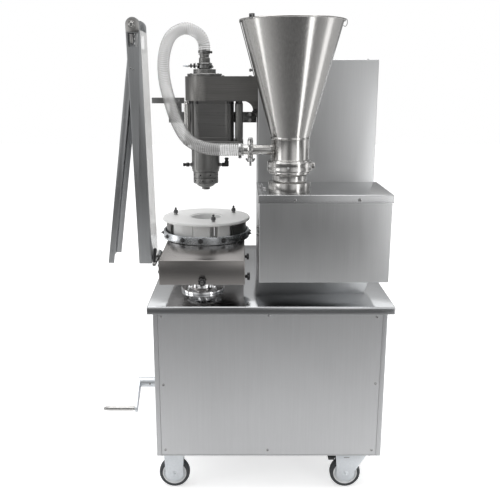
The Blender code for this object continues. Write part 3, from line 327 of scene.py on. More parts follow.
def lathe_bm(profile, steps, soft=0.0):
    """Turned solid from (radius, height) points, top down the outer side."""
    ring = profile[0][0] > 1e-6
    points = fillet(profile, soft, ring) if soft else [tuple(p) for p in profile]
    bm = bmesh.new()
    rows = []
    for r, h in points:
        if r < 1e-6:
            rows.append([bm.verts.new((0, 0, h))])
        else:
            rows.append([bm.verts.new((r * math.cos(2 * math.pi * k / steps),
                                       r * math.sin(2 * math.pi * k / steps), h))
                         for k in range(steps)])
    pairs = list(zip(rows, rows[1:])) + ([(rows[-1], rows[0])] if ring else [])
    for a, b in pairs:
        for k in range(steps):
            n = (k + 1) % steps
            if len(a) == 1 and len(b) == 1:
                continue
            if len(a) == 1:
                bm.faces.new((a[0], b[k], b[n]))
            elif len(b) == 1:
                bm.faces.new((a[k], b[0], a[n]))
            else:
                bm.faces.new((a[k], b[k], b[n], a[n]))
    bmesh.ops.recalc_face_normals(bm, faces=bm.faces)
    return bm


def turned(name, profile, centre, mat=None, steps=64, along="Z", soft=0.0006):
    return to_object(name, lathe_bm(profile, steps, soft), mat,
                     Matrix.Translation(centre) @ TURN[along])


def rod(name, radius, start, end, mat=None, steps=24, soft=0.0004, radius2=None):
    start, end = Vector(start), Vector(end)
    length = (end - start).length
    r2 = radius if radius2 is None else radius2
    bm = lathe_bm([(0.0, length), (r2, length), (radius, 0.0), (0.0, 0.0)], steps, soft)
    turn = Vector((0, 0, 1)).rotation_difference(end - start).to_matrix().to_4x4()
    return to_object(name, bm, mat, Matrix.Translation(start) @ turn)


def box(name, low, high, mat=None, drop=()):
    low, high = Vector(low), Vector(high)
    bm = bmesh.new()
    bmesh.ops.create_cube(bm, size=1.0)
    bmesh.ops.scale(bm, vec=high - low, verts=bm.verts)
    bmesh.ops.translate(bm, vec=(low + high) / 2, verts=bm.verts)
    bm.normal_update()
    gone = [face for face in bm.faces for side in drop
            if face.normal["xyz".index(side[1])] * (1 if side[0] == "+" else -1) > 0.9]
    bmesh.ops.delete(bm, geom=gone, context="FACES")
    return to_object(name, bm, mat)


def plate(name, outline, thickness, centre, mat=None, rotation=None, holes=()):
    """A flat outline with holes in local XY, extruded both ways."""
    curve = bpy.data.curves.new(name, "CURVE")
    curve.dimensions = "2D"
    curve.fill_mode = "BOTH"
    curve.extrude = thickness / 2
    for points in (outline, *holes):
        spline = curve.splines.new("POLY")
        spline.points.add(len(points) - 1)
        for point, (x, y) in zip(spline.points, points):
            point.co = (x, y, 0, 1)
        spline.use_cyclic_u = True
    flat = bpy.data.objects.new(name, curve)
    work.objects.link(flat)
    bpy.context.view_layer.update()
    mesh = bpy.data.meshes.new_from_object(
        flat.evaluated_get(bpy.context.evaluated_depsgraph_get()))
    bpy.data.objects.remove(flat, do_unlink=True)
    bm = bmesh.new()
    bm.from_mesh(mesh)
    bpy.data.meshes.remove(mesh)
    bmesh.ops.remove_doubles(bm, verts=bm.verts, dist=0.00001)
    bmesh.ops.dissolve_limit(bm, angle_limit=0.01, verts=bm.verts, edges=bm.edges,
                             delimit={"NORMAL"})
    bmesh.ops.recalc_face_normals(bm, faces=bm.faces)
    turn = Matrix.Identity(4)
    if rotation:
        turn = (Matrix.Rotation(rotation[2], 4, "Z") @ Matrix.Rotation(rotation[1], 4, "Y")
                @ Matrix.Rotation(rotation[0], 4, "X"))
    return to_object(name, bm, mat, Matrix.Translation(centre) @ turn)


def arc(radius, count, centre=(0, 0), lo=0.0, hi=2 * math.pi, full=True):
    steps = count if full else count - 1
    return [(centre[0] + radius * math.cos(lo + (hi - lo) * i / steps),
             centre[1] + radius * math.sin(lo + (hi - lo) * i / steps)) for i in range(count)]


def slot_points(a, b, ra, rb, steps=16):
    a, b = Vector(a), Vector(b)
    d = b - a
    base = math.atan2(d.y, d.x)
    tilt = math.acos(max(-1, min(1, (ra - rb) / d.length)))
    points = []
    for centre, radius, lo, hi in ((b, rb, base - tilt, base + tilt),
                                   (a, ra, base + tilt, base - tilt + 2 * math.pi)):
        for i in range(steps + 1):
            angle = lo + (hi - lo) * i / steps
            points.append((centre.x + radius * math.cos(angle),
                           centre.y + radius * math.sin(angle)))
    return points


def boolean(obj, operation, others):
    for other in others:
        made = obj.modifiers.new("b", "BOOLEAN")
        made.operation, made.solver, made.object = operation, "EXACT", other
    apply(obj)
    for other in others:
        bpy.data.objects.remove(other, do_unlink=True)
    return obj


def join(obj, *others):
    return boolean(obj, "UNION", others)


def cut(obj, *others):
    return boolean(obj, "DIFFERENCE", others)


def apply(obj):
    bpy.context.view_layer.update()
    mesh = bpy.data.meshes.new_from_object(
        obj.evaluated_get(bpy.context.evaluated_depsgraph_get()))
    old = obj.data
    obj.modifiers.clear()
    obj.data = mesh
    bpy.data.meshes.remove(old)
    return obj


def together(name, *objs):
    """Several bodies as one object, left apart."""
    bm = bmesh.new()
    mats = []
    for obj in objs:
        first = len(bm.faces)
        bm.from_mesh(obj.data)
        bm.faces.ensure_lookup_table()
        mat = obj.data.materials[0] if obj.data.materials else None
        if mat not in mats:
            mats.append(mat)
        for face in bm.faces[first:]:
            face.material_index = mats.index(mat)
        bpy.data.objects.remove(obj, do_unlink=True)
    made = to_object(name, bm, None)
    for mat in mats:
        if mat:
            made.data.materials.append(mat)
    return made


def solidify(obj, thickness):
    made = obj.modifiers.new("sheet", "SOLIDIFY")
    made.thickness = thickness
    made.offset = -1
    made.use_even_offset = True
    return obj


def rounded_edges(obj, width, segments=3, angle=30):
    made = obj.modifiers.new("edges", "BEVEL")
    made.width = width
    made.segments = segments
    made.limit_method = "ANGLE"
    made.angle_limit = math.radians(angle)
    made.use_clamp_overlap = True
    return obj


def piece(obj, name, body, replaces=(), edge=0.0, segments=2, smooth=32, mat=None,
          weighted=True):
    """Finishes a piece: rounds its edges, moves it to the row frame, and hangs it on a body."""
    if edge:
        rounded_edges(obj, edge, segments)
    if edge and weighted:
        normals = obj.modifiers.new("normals", "WEIGHTED_NORMAL")
        normals.keep_sharp = True
    if obj.modifiers:
        if not edge:
            obj.data.shade_smooth()
        else:
            obj.data.shade_smooth()
            obj.data.set_sharp_from_angle(angle=math.radians(50))
        apply(obj)
    obj.data.transform(FRAME_MOVE)
    if not (edge and weighted):
        obj.data.shade_smooth()
        obj.data.set_sharp_from_angle(angle=math.radians(smooth))
    if mat:
        obj.data.materials.clear()
        obj.data.materials.append(mat)
    obj.name = name
    obj.data.name = name
    work.objects.unlink(obj)
    scene.collection.objects.link(obj)
    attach(obj, body)
    if replaces:
        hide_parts(*replaces)
    return obj


def frame_at(at, direction):
    turn = Vector((0, 0, 1)).rotation_difference(Vector(direction)).to_matrix().to_4x4()
    return Matrix.Translation(at) @ turn


def dome_screw(at, direction, r=0.0045, h=0.0022, mat=None, socket=True):
    """Button-head screw with a hexagon socket."""
    profile = [(0.0, h)] if not socket else []
    bm = bmesh.new()
    steps, rows = 24, []
    sock = r * 0.46
    shape = []
    if socket:
        shape += [(0.0, h * 0.35), (sock * 0.98, h * 0.35), (sock, h * 0.93)]
    else:
        shape += [(0.0, h)]
    shape += [(r * 0.62, h), (r * 0.86, h * 0.78), (r * 0.98, h * 0.40), (r, 0.0), (0.0, 0.0)]
    for rr, hh in shape:
        if rr < 1e-6:
            rows.append([bm.verts.new((0, 0, hh))])
        else:
            hexed = socket and rr <= sock + 1e-6
            row = []
            for k in range(steps):
                a = 2 * math.pi * k / steps
                f = 1.0
                if hexed:
                    f = math.cos(math.pi / 6) / math.cos((a % (math.pi / 3)) - math.pi / 6)
                row.append(bm.verts.new((rr * f * math.cos(a), rr * f * math.sin(a), hh)))
            rows.append(row)
    for a, b in zip(rows, rows[1:]):
        for k in range(steps):
            n = (k + 1) % steps
            if len(a) == 1:
                bm.faces.new((a[0], b[k], b[n]))
            elif len(b) == 1:
                bm.faces.new((a[k], b[0], a[n]))
            else:
                bm.faces.new((a[k], b[k], b[n], a[n]))
    bmesh.ops.recalc_face_normals(bm, faces=bm.faces)
    return to_object("screw", bm, mat or BOLT, frame_at(at, direction))


def cap_screw(at, direction, r=0.0045, h=0.0060, mat=None):
    """Cylinder-head screw with a hexagon socket."""
    sock = r * 0.52
    bm = lathe_bm([(0.0, h * 0.45), (sock, h * 0.45), (sock, h), (r * 0.88, h), (r, h * 0.86),
                   (r, 0.0), (0.0, 0.0)], 24, 0.0)
    return to_object("screw", bm, mat or BOLT, frame_at(at, direction))


def hex_bolt(at, direction, r=0.0060, h=0.0042, mat=None, washer=True, tip=0.0):
    """Hexagon head or nut, chamfered, on a washer, with the thread end showing if tip > 0."""
    parts = []
    bm = bmesh.new()
    rows = []
    for f, hh in ((0.90, h), (1.0, h * 0.84), (1.0, h * 0.16 + 0.0006), (0.92, 0.0006)):
        rows.append([bm.verts.new((r * f * math.cos(math.pi * k / 3),
                                   r * f * math.sin(math.pi * k / 3), hh)) for k in range(6)])
    for a, b in zip(rows, rows[1:]):
        for k in range(6):
            bm.faces.new((a[k], b[k], b[(k + 1) % 6], a[(k + 1) % 6]))
    bm.faces.new(rows[0])
    bm.faces.new(rows[-1][::-1])
    bmesh.ops.recalc_face_normals(bm, faces=bm.faces)
    parts.append(to_object("hex", bm, mat or BOLT, frame_at(at, direction)))
    if washer:
        parts.append(to_object("washer", lathe_bm(
            [(0.0, 0.0009), (r * 1.22, 0.0009), (r * 1.28, 0.0002), (r * 1.28, 0.0), (0.0, 0.0)],
            24, 0.0), mat or BOLT, frame_at(at, direction)))
    if tip:
        parts.append(to_object("thread", lathe_bm(thread_profile(r * 0.52, h + tip, h * 0.5), 16,
                                                  0.0), mat or BOLT, frame_at(at, direction)))
    return parts


def thread_profile(r, top, bottom, pitch=0.0009):
    points = [(0.0, top), (r * 0.82, top)]
    z = top - 0.0003
    while z - pitch > bottom:
        points += [(r, z - pitch * 0.35), (r * 0.88, z - pitch * 0.85)]
        z -= pitch
    return points + [(r, bottom), (0.0, bottom)]


def wire(name, points, radius, mat, sides=8, closed=False):
    """A round wire along points, as a mesh."""
    pts = [Vector(p) for p in points]
    bm = bmesh.new()
    rows = []
    normal = None
    count = len(pts)
    for i, p in enumerate(pts):
        if closed:
            tangent = (pts[(i + 1) % count] - pts[i - 1]).normalized()
        else:
            tangent = (pts[min(i + 1, count - 1)] - pts[max(i - 1, 0)]).normalized()
        if normal is None:
            normal = tangent.orthogonal().normalized()
        normal = (normal - tangent * normal.dot(tangent)).normalized()
        side = tangent.cross(normal)
        rows.append([bm.verts.new(p + radius * (math.cos(2 * math.pi * k / sides) * normal
                                                + math.sin(2 * math.pi * k / sides) * side))
                     for k in range(sides)])
    pairs = list(zip(rows, rows[1:])) + ([(rows[-1], rows[0])] if closed else [])
    for a, b in pairs:
        for k in range(sides):
            bm.faces.new((a[k], a[(k + 1) % sides], b[(k + 1) % sides], b[k]))
    if not closed:
        bm.faces.new(rows[0][::-1])
        bm.faces.new(rows[-1])
    bmesh.ops.recalc_face_normals(bm, faces=bm.faces)
    return to_object(name, bm, mat)


def through(points, count, dense_steps=24):
    pts = [Vector(p) for p in points]
    pts = [2 * pts[0] - pts[1]] + pts + [2 * pts[-1] - pts[-2]]
    dense = []
    for i in range(1, len(pts) - 2):
        p0, p1, p2, p3 = pts[i - 1:i + 3]
        for k in range(dense_steps):
            t = k / dense_steps
            dense.append(0.5 * (2 * p1 + (p2 - p0) * t + (2 * p0 - 5 * p1 + 4 * p2 - p3) * t * t
                                + (3 * p1 - p0 - 3 * p2 + p3) * t ** 3))
    dense.append(pts[-2])
    lengths = [0.0]
    for a, b in zip(dense, dense[1:]):
        lengths.append(lengths[-1] + (b - a).length)
    out, k = [], 0
    for i in range(count):
        want = lengths[-1] * i / (count - 1)
        while k < len(lengths) - 2 and lengths[k + 1] < want:
            k += 1
        t = (want - lengths[k]) / max(1e-9, lengths[k + 1] - lengths[k])
        out.append(dense[k].lerp(dense[k + 1], min(1.0, t)))
    return out


# ------------------------------------------------------------ transfer hose
HOP_X, HOP_Y = 0.0560, 0.0970
HEAD_X, HEAD_Y = -0.2100, 0.3680
PORT_Z = 1.1030
HOSE_ROUTE = [(HEAD_X, HEAD_Y, 1.4060), (HEAD_X - 0.0010, HEAD_Y, 1.4200),
              (-0.2270, 0.3660, 1.4490), (-0.2700, 0.3580, 1.4662), (-0.3150, 0.3460, 1.4430),
              (-0.3370, 0.3300, 1.3850), (-0.3370, 0.3080, 1.3150), (-0.3180, 0.2650, 1.2450),
              (-0.2870, 0.2050, 1.1730), (-0.2470, 0.1480, 1.1250), (-0.1930, 0.1120, 1.1060),
              (-0.1400, 0.0980, 1.1030), (-0.1160, HOP_Y, PORT_Z), (-0.1040, HOP_Y, PORT_Z)]
HOSE_R = 0.0190
route = ([Vector((HEAD_X, HEAD_Y, 1.3840))]
         + [Vector((HEAD_X, HEAD_Y, 1.3990))] + through(HOSE_ROUTE, 60)
         + [Vector((-0.0963, HOP_Y, PORT_Z))] + [Vector((-0.0820, HOP_Y, PORT_Z))])
hose_curve = bpy.data.curves.new("transfer_hose_clear", "CURVE")
hose_curve.dimensions = "3D"
hose_curve.bevel_depth = HOSE_R
hose_curve.bevel_resolution = 7
hose_curve.use_fill_caps = False
hose_spline = hose_curve.splines.new("POLY")
hose_spline.points.add(len(route) - 1)
for point, co in zip(hose_spline.points, route):
    point.co = (*(FRAME_MOVE @ co), 1)
    point.radius = 1.0
hose_spline.use_smooth = True
hose_curve.materials.append(PVC)
hose = bpy.data.objects.new("hose_wall", hose_curve)
scene.collection.objects.link(hose)
hose_length = sum((b - a).length for a, b in zip(route, route[1:]))
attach(hose, "base")
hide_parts("transfer_hose")

# steel helix in the wall, one turn about every 6 mm
fine = through(route, 1500, 12)
turns = hose_length / 0.0063
normal = Vector((0, 1, 0))
helix = []
steps_per_turn = 18
total = int(turns * steps_per_turn)
for i in range(total + 1):
    t = i / total * (len(fine) - 1)
    k = min(int(t), len(fine) - 2)
    p = fine[k].lerp(fine[k + 1], t - k)
    tangent = (fine[k + 1] - fine[k]).normalized()
    normal = (normal - tangent * normal.dot(tangent)).normalized()
    side = tangent.cross(normal)
    a = 2 * math.pi * i / steps_per_turn
    helix.append(p + 0.0188 * (math.cos(a) * normal + math.sin(a) * side))
hose_helix = piece(wire("hose_helix", helix, 0.00070, WIRE, 6), "hose_helix", "base",
                   smooth=60)

# ------------------------------------------------------------ sheet metal
SHEETT = 0.002
TOP_W, TOP_D, TOP_Z, TOP_LIP = 0.750, 0.795, 0.6423, 0.0240
CAB_X0, CAB_X1, CAB_Y0, CAB_Y1, CAB_Z0 = -0.3600, 0.3570, 0.0170, 0.7780, 0.1340
PANEL_X0, PANEL_X1 = -0.3450, 0.3420
COL_X, COL_Y, CRANK_Z = -0.2145, 0.1820, 0.3140
TBL_X0, TBL_X1, TBL_Y0, TBL_Y1, TBL_Z0, TBL_Z1 = -0.3390, -0.0785, 0.0350, 0.5400, 0.7007, 0.7775
BOX_X0, BOX_X1, BOX_Y0, BOX_Y1 = -0.0370, 0.3540, 0.0220, 0.2845
BOX_Z0, LID_Z, LIP = 0.7120, 0.9790, 0.0240
TALL_X0, TALL_X1, TALL_Y0, TALL_Y1, TALL_Z1 = -0.0360, 0.3460, 0.2850, 0.4600, 1.3675


def tray(name, low, high, mat, drop, bend=0.0022, thick=SHEETT):
    """A folded sheet tray: rounded bends, open faces, one sheet thick."""
    made = box(name, low, high, mat, drop)
    rounded_edges(made, bend, 3)
    solidify(made, thick)
    return apply(made)


t = SHEETT
shell_line = fillet([(PANEL_X0, CAB_Y0), (CAB_X0, CAB_Y0), (CAB_X0, CAB_Y1), (CAB_X1, CAB_Y1),
                     (CAB_X1, CAB_Y0), (PANEL_X1, CAB_Y0), (PANEL_X1, CAB_Y0 + t),
                     (CAB_X1 - t, CAB_Y0 + t), (CAB_X1 - t, CAB_Y1 - t), (CAB_X0 + t, CAB_Y1 - t),
                     (CAB_X0 + t, CAB_Y0 + t), (PANEL_X0, CAB_Y0 + t)], 0.0026)
shell_z1 = TOP_Z - SHEETT - GAP
shell = plate("shell", shell_line, shell_z1 - CAB_Z0, (0, 0, (shell_z1 + CAB_Z0) / 2), CABINET)
cut(shell, rod("cut", 0.0130, (CAB_X0 - 0.02, COL_Y, CRANK_Z), (CAB_X0 + 0.02, COL_Y, CRANK_Z)))
floor_sheet = box("floor", (CAB_X0 + 0.0025, CAB_Y0 + 0.0005, CAB_Z0),
                  (CAB_X1 - 0.0025, CAB_Y1 - 0.0025, CAB_Z0 + t), CABINET)
for y in (0.065, 0.720):
    cut(floor_sheet, rod("cut", 0.0070, (0.290, y, 0.10), (0.290, y, 0.16)))
parts = [shell, floor_sheet]
for y in (0.065, 0.720):
    parts.append(cut(rounded_edges(box("plate", (0.247, y - 0.040, 0.1300), (0.333, y + 0.040, 0.1340),
                                       ZINC), 0.0012),
                     rod("cut", 0.0070, (0.290, y, 0.10), (0.290, y, 0.16))))
    parts.append(turned("cup", [(0.0072, 0.0072), (0.0300, 0.0072), (0.0300, 0.0040),
                                (0.0250, 0.0000), (0.0072, 0.0000)], (0.290, y, 0.1260), ZINC, 48))
    for dx in (-0.034, 0.034):
        for dy in (-0.031, 0.031):
            parts += hex_bolt((0.290 + dx, y + dy, 0.1300), (0, 0, -1), 0.0058, 0.0040, ZINC)
piece(together("cabinet_body", *parts), "cabinet_body", "base", ["cabinet_shell"])

panel = box("panel", (PANEL_X0 + 0.0006, CAB_Y0, CAB_Z0 + SHEETT + 0.0010),
            (PANEL_X1 - 0.0006, CAB_Y0 + SHEETT, TOP_Z - 0.004), PANEL)
piece(panel, "cabinet_front", "base", ["front_panel"], edge=0.0007)

panel_screws = [dome_screw((x, CAB_Y0, z), (0, -1, 0), 0.0042, 0.0022) for x, z in
                ((-0.3339, 0.6045), (-0.0052, 0.6085), (0.3236, 0.6045), (-0.3325, 0.3800),
                 (0.3295, 0.3850), (-0.3319, 0.1553), (0.3275, 0.1540), (-0.0052, 0.1545))]
panel_screws += [dome_screw((x, CAB_Y1, z), (0, 1, 0), 0.0042, 0.0022)
                 for x in (-0.335, 0.0, 0.335) for z in (0.1700, 0.3850, 0.6000)]
piece(together("panel_screws", *panel_screws), "panel_screws", "base")

top = tray("top", (-TOP_W / 2, 0, TOP_Z - TOP_LIP), (TOP_W / 2, TOP_D, TOP_Z), TOP, ("-z",), 0.0030)
cut(top, rod("cut", 0.0300, (COL_X, COL_Y, TOP_Z - 0.05), (COL_X, COL_Y, TOP_Z + 0.05), steps=48))
piece(top, "worktop_tray", "base", ["worktop"], smooth=50)

bush = turned("bush", [(0.0117, 0.0035), (0.0180, 0.0035), (0.0200, 0.0015), (0.0200, 0.0000),
                       (0.0117, 0.0000)], (CAB_X0 - 0.0002, COL_Y, CRANK_Z), ZINC, 48, "-X")
cut_x = CAB_X0 - 0.0037
piece(bush, "crank_bush", "base")

tall = tray("tall", (TALL_X0, TALL_Y0, TOP_Z + GAP), (TALL_X1, TALL_Y1, TALL_Z1), HOUSE, ("-z",))
cut(tall, box("cut", (HOP_X - 0.040, TALL_Y0 - 0.01, 0.800), (HOP_X + 0.200, TALL_Y0 + 0.01, 0.900)))
piece(tall, "tower_housing", "base", ["tall_housing"], smooth=50)
tower_screws = [dome_screw((TALL_X1 - 0.030, TALL_Y0 + 0.030, TALL_Z1), (0, 0, 1), 0.0042, 0.0026),
                dome_screw((TALL_X0 + 0.030, TALL_Y0 + 0.030, TALL_Z1), (0, 0, 1), 0.0042, 0.0026),
                dome_screw((TALL_X1 - 0.030, TALL_Y1 - 0.030, TALL_Z1), (0, 0, 1), 0.0042, 0.0026),
                dome_screw((TALL_X0 + 0.030, TALL_Y1 - 0.030, TALL_Z1), (0, 0, 1), 0.0042, 0.0026)]
tower_screws += [dome_screw((x, TALL_Y1, z), (0, 1, 0), 0.0042, 0.0022)
                 for x in (TALL_X0 + 0.020, TALL_X1 - 0.020) for z in (0.68, 1.00, 1.33)]
piece(together("tower_screws", *tower_screws), "tower_screws", "base")

feeder = tray("feeder", (BOX_X0, BOX_Y0, BOX_Z0), (BOX_X1, BOX_Y1, LID_Z - SHEETT - GAP), HOUSE,
              ("+z",))
piece(feeder, "feeder_case", "base", ["feeder_box"], smooth=50)
lid = tray("lid", (BOX_X0 - 0.003, BOX_Y0 - 0.003, LID_Z - LIP), (BOX_X1 + 0.003, BOX_Y1, LID_Z), LID,
           ("-z", "+y"))
cut(lid, rod("cut", 0.0150, (HOP_X, HOP_Y, LID_Z - 0.05), (HOP_X, HOP_Y, LID_Z + 0.05)))
piece(lid, "feeder_cover", "base", ["feeder_lid"], smooth=50)
LX0, LY0 = BOX_X0 - 0.003, BOX_Y0 - 0.003
small = [cap_screw((0.0672, LY0, 0.9646), (0, -1, 0), 0.0050, 0.0024),
         cap_screw((0.2570, LY0, 0.9646), (0, -1, 0), 0.0050, 0.0024)]
for z in (0.8732, 0.8499):
    small += hex_bolt((BOX_X0, 0.0700, z), (-1, 0, 0), 0.0042, 0.0036, BRACKET, tip=0.0030)
for y in (0.085, 0.215):
    small.append(cap_screw((BOX_X1 + 0.003, y, 0.9646), (1, 0, 0), 0.0050, 0.0024))
for x, y in ((-0.0262, 0.1950), (-0.0170, 0.1180)):
    small += hex_bolt((x, y, LID_Z), (0, 0, 1), 0.0050, 0.0050, CHROME, tip=0.0040)
small.append(join(box("lug", (-0.0340, 0.1500, LID_Z), (-0.0180, 0.1620, LID_Z + 0.0030), CHROME),
                  box("lug2", (-0.0290, 0.1500, LID_Z), (-0.0260, 0.1620, LID_Z + 0.0130), CHROME)))
piece(together("cover_screws", *small), "cover_screws", "base", smooth=35)

# seams where the folded corners of the cover and the worktop meet
seams = []
for x, y, z0, z1 in ((LX0, LY0, LID_Z - LIP, LID_Z - 0.0030), (BOX_X1 + 0.003, LY0, LID_Z - LIP,
                                                               LID_Z - 0.0030),
                     (-TOP_W / 2, 0.0, TOP_Z - TOP_LIP, TOP_Z - 0.0035),
                     (TOP_W / 2, 0.0, TOP_Z - TOP_LIP, TOP_Z - 0.0035)):
    sx = 1 if x < 0 else -1
    seams.append(wire("seam", [(x + sx * 0.0009, y + 0.0009, z0 + (z1 - z0) * k / 6)
                               for k in range(7)], 0.0007, BRACKET, 6))
piece(together("corner_seams", *seams), "corner_seams", "base", smooth=60)

# ------------------------------------------------------------ casters
WR, WW = 0.0500, 0.0300
LEG, LEG_GAP = 0.0030, WW / 2 + 0.0022


def wheel(tag, hub, body, node):
    w = WW / 2
    tread = [(0.0388, w * 0.86), (0.0440, w), (0.0478, w * 0.86), (0.0497, w * 0.50), (0.0500, 0.0),
             (0.0497, -w * 0.50), (0.0478, -w * 0.86), (0.0440, -w), (0.0388, -w * 0.86)]
    tyre = turned("t", tread, hub, TYRE, 96, "Y", 0.0012)
    piece(tyre, tag + "_tyre", body, [node], smooth=40)
    rim = turned("r", [(0.0352, w * 0.80), (0.0362, w * 0.93), (0.0380, w * 0.93), (0.0387, w * 0.84),
                       (0.0387, -w * 0.84), (0.0380, -w * 0.93), (0.0362, -w * 0.93),
                       (0.0352, -w * 0.80)], hub, RIM, 96, "Y", 0.0004)
    piece(rim, tag + "_rim", body, smooth=40)
    core = turned("h", [(0.0070, w * 0.90), (0.0130, w * 0.90), (0.0160, w * 0.58), (0.0310, w * 0.58),
                        (0.0340, w * 0.74), (0.0350, w * 0.72), (0.0350, -w * 0.72),
                        (0.0340, -w * 0.74), (0.0310, -w * 0.58), (0.0160, -w * 0.58),
                        (0.0130, -w * 0.90), (0.0070, -w * 0.90)], hub, HUB, 72, "Y", 0.0007)
    ribs = []
    for side in (-1, 1):
        for k in range(8):
            a = 2 * math.pi * k / 8
            rib = box("rib", (0.0140, -0.0011, w * 0.50), (0.0335, 0.0011, w * 0.70), HUB)
            rounded_edges(rib, 0.0005, 2)
            apply(rib)
            rib.data.transform(Matrix.Translation(hub) @ Matrix.Rotation(
                -math.pi / 2 if side > 0 else math.pi / 2, 4, "X") @ Matrix.Rotation(a, 4, "Z"))
            ribs.append(rib)
    piece(together("core", core, *ribs), tag + "_hub", body, smooth=40)


def fork(tag, hub, top, z_top, pivot_x, body, node, rigid):
    x0, x1 = top
    foot = [(hub[0] + 0.0300 * math.cos(a), hub[2] + 0.0240 * math.sin(a))
            for a in (math.pi - 0.3 + (math.pi + 0.6) * i / 28 for i in range(29))]
    outline = fillet([(x1, z_top - 0.0012), (x0, z_top - 0.0012)] + foot, 0.0060)
    crown = box("crown", (x0, hub[1] - LEG_GAP - LEG, z_top - 0.0045),
                (x1, hub[1] + LEG_GAP + LEG, z_top), ZINC)
    rounded_edges(crown, 0.0022, 4)
    parts = [apply(crown)]
    for side in (-1, 1):
        y = hub[1] + side * (LEG_GAP + LEG / 2)
        leg = plate("leg", outline, LEG, (0, y, 0), ZINC, (math.pi / 2, 0, 0))
        if rigid:
            cut(leg, plate("cut", slot_points((hub[0] - 0.0060, z_top - 0.0085),
                                              (hub[0] + 0.0060, z_top - 0.0085), 0.0017, 0.0017, 8),
                           LEG * 2, (0, y, 0), None, (math.pi / 2, 0, 0)))
        rounded_edges(leg, 0.0009, 2)
        parts.append(apply(leg))
        out = hub[1] + side * (LEG_GAP + LEG)
        if rigid:
            for dx in (-0.0240, 0.0240):
                rib = plate("rib", slot_points((hub[0] + dx, z_top - 0.016),
                                               (hub[0] + dx * 0.92, hub[2] + 0.004), 0.0018, 0.0015, 8),
                            0.0012, (0, out - side * 0.0002, 0), ZINC, (math.pi / 2, 0, 0))
                rounded_edges(rib, 0.0005, 2)
                parts.append(apply(rib))
        else:
            rib = plate("rib", slot_points((hub[0] - 0.006, z_top - 0.0115),
                                           (hub[0] + 0.010, z_top - 0.0115), 0.0012, 0.0012, 8),
                        0.0010, (0, out - side * 0.0002, 0), BRACKET, (math.pi / 2, 0, 0))
            parts.append(rib)
        boss = turned("boss", [(0.0, 0.0016), (0.0095, 0.0016), (0.0120, 0.0), (0.0, 0.0)],
                      (hub[0], out - side * 0.0004, hub[2]), ZINC, 40, "Y" if side > 0 else "-Y")
        parts.append(boss)
        parts.append(turned("cap", [(0.0, 0.0046), (0.0030, 0.0044), (0.0050, 0.0034),
                                    (0.0059, 0.0018), (0.0060, 0.0), (0.0, 0.0)],
                            (hub[0], out + side * 0.0004, hub[2]), ZINC, 32,
                            "Y" if side > 0 else "-Y"))
    parts.append(rod("axle", 0.0055, (hub[0], hub[1] - LEG_GAP - 0.001, hub[2]),
                     (hub[0], hub[1] + LEG_GAP + 0.001, hub[2]), ZINC))
    if rigid:
        base = box("base", (hub[0] - 0.0430, hub[1] - 0.0400, CAB_Z0 - GAP - 0.0035),
                   (hub[0] + 0.0430, hub[1] + 0.0400, CAB_Z0 - GAP), ZINC)
        rounded_edges(base, 0.0010, 2)
        parts.append(apply(base))
        for dx in (-0.036, 0.036):
            for dy in (-0.032, 0.032):
                parts += hex_bolt((hub[0] + dx, hub[1] + dy, CAB_Z0 - GAP - 0.0035), (0, 0, -1),
                                  0.0056, 0.0038, ZINC)
    else:
        parts.append(turned("race", [(0.0, 0.0034), (0.0190, 0.0034), (0.0222, 0.0022),
                                     (0.0226, -0.0030), (0.0, -0.0030)], (pivot_x, hub[1], z_top),
                            TURNED, 56))
        parts.append(rod("pin", 0.0058, (pivot_x, hub[1], z_top), (pivot_x, hub[1], CAB_Z0 - 0.0014),
                         ZINC))
    piece(together(tag, *parts), tag, body, [node], smooth=38)


for tag, y in (("front", 0.065), ("rear", 0.720)):
    hub = (-0.3090, y, WR)
    wheel("rigid_" + tag, hub, "rigid_wheel_" + tag, "rigid_wheel_" + tag)
    fork("rigid_caster_" + tag, hub, (hub[0] - 0.0330, hub[0] + 0.0330), CAB_Z0 - GAP, hub[0], "base",
         "rigid_fork_" + tag, True)
    hub = (0.2520, y, WR)
    wheel("swivel_" + tag, hub, "swivel_wheel_" + tag, "swivel_wheel_" + tag)
    fork("swivel_caster_" + tag, hub, (hub[0] - 0.0335, 0.3200), CAB_Z0 - 0.0120, 0.2900,
         "swivel_" + tag, "swivel_fork_" + tag, False)
PX, PYY = 0.243, 0.065
pedal = join(box("pedal", (PX - 0.0400, PYY - 0.0120, 0.1045), (PX + 0.0040, PYY + 0.0120, 0.1080), BLACK),
             box("toe", (PX - 0.0480, PYY - 0.0165, 0.1000), (PX - 0.0280, PYY + 0.0165, 0.1070)))
piece(pedal, "brake_tab", "brake_pedal", ["brake_pedal"], edge=0.0012, segments=3)

# ------------------------------------------------------------ hopper
RIM_R, NECK_R, CONE_Z, RIM_Z, NECK_Z = 0.1490, 0.0568, 1.1410, 1.4720, 1.0713
wall = 0.0016
rim = [(RIM_R + 0.0004 + 0.0026 * math.cos(a), RIM_Z - 0.0028 + 0.0028 * math.sin(a))
       for a in (math.radians(150 - 300 * k / 14) for k in range(15))]
cone = turned("hopper_body",
              rim + [(NECK_R + 0.0014, CONE_Z + 0.0010), (NECK_R + 0.0018, CONE_Z - 0.0010),
                     (NECK_R + 0.0018, CONE_Z - 0.0050), (NECK_R + 0.0002, CONE_Z - 0.0064),
                     (NECK_R, NECK_Z + 0.0050), (NECK_R + 0.0016, NECK_Z + 0.0040),
                     (0.0618, NECK_Z + 0.0030), (0.0620, NECK_Z + 0.0020),
                     (0.0620, NECK_Z - 0.0298), (NECK_R - wall, NECK_Z - 0.0298),
                     (NECK_R - wall, CONE_Z), (RIM_R - wall - 0.0008, RIM_Z - 0.0050)],
              (HOP_X, HOP_Y, 0), POLISHED, 128, "Z", 0.0003)
port = rod("port", 0.0145, (HOP_X - NECK_R + 0.0004, HOP_Y, PORT_Z), (-0.0600, HOP_Y, PORT_Z), POLISHED,
           48)
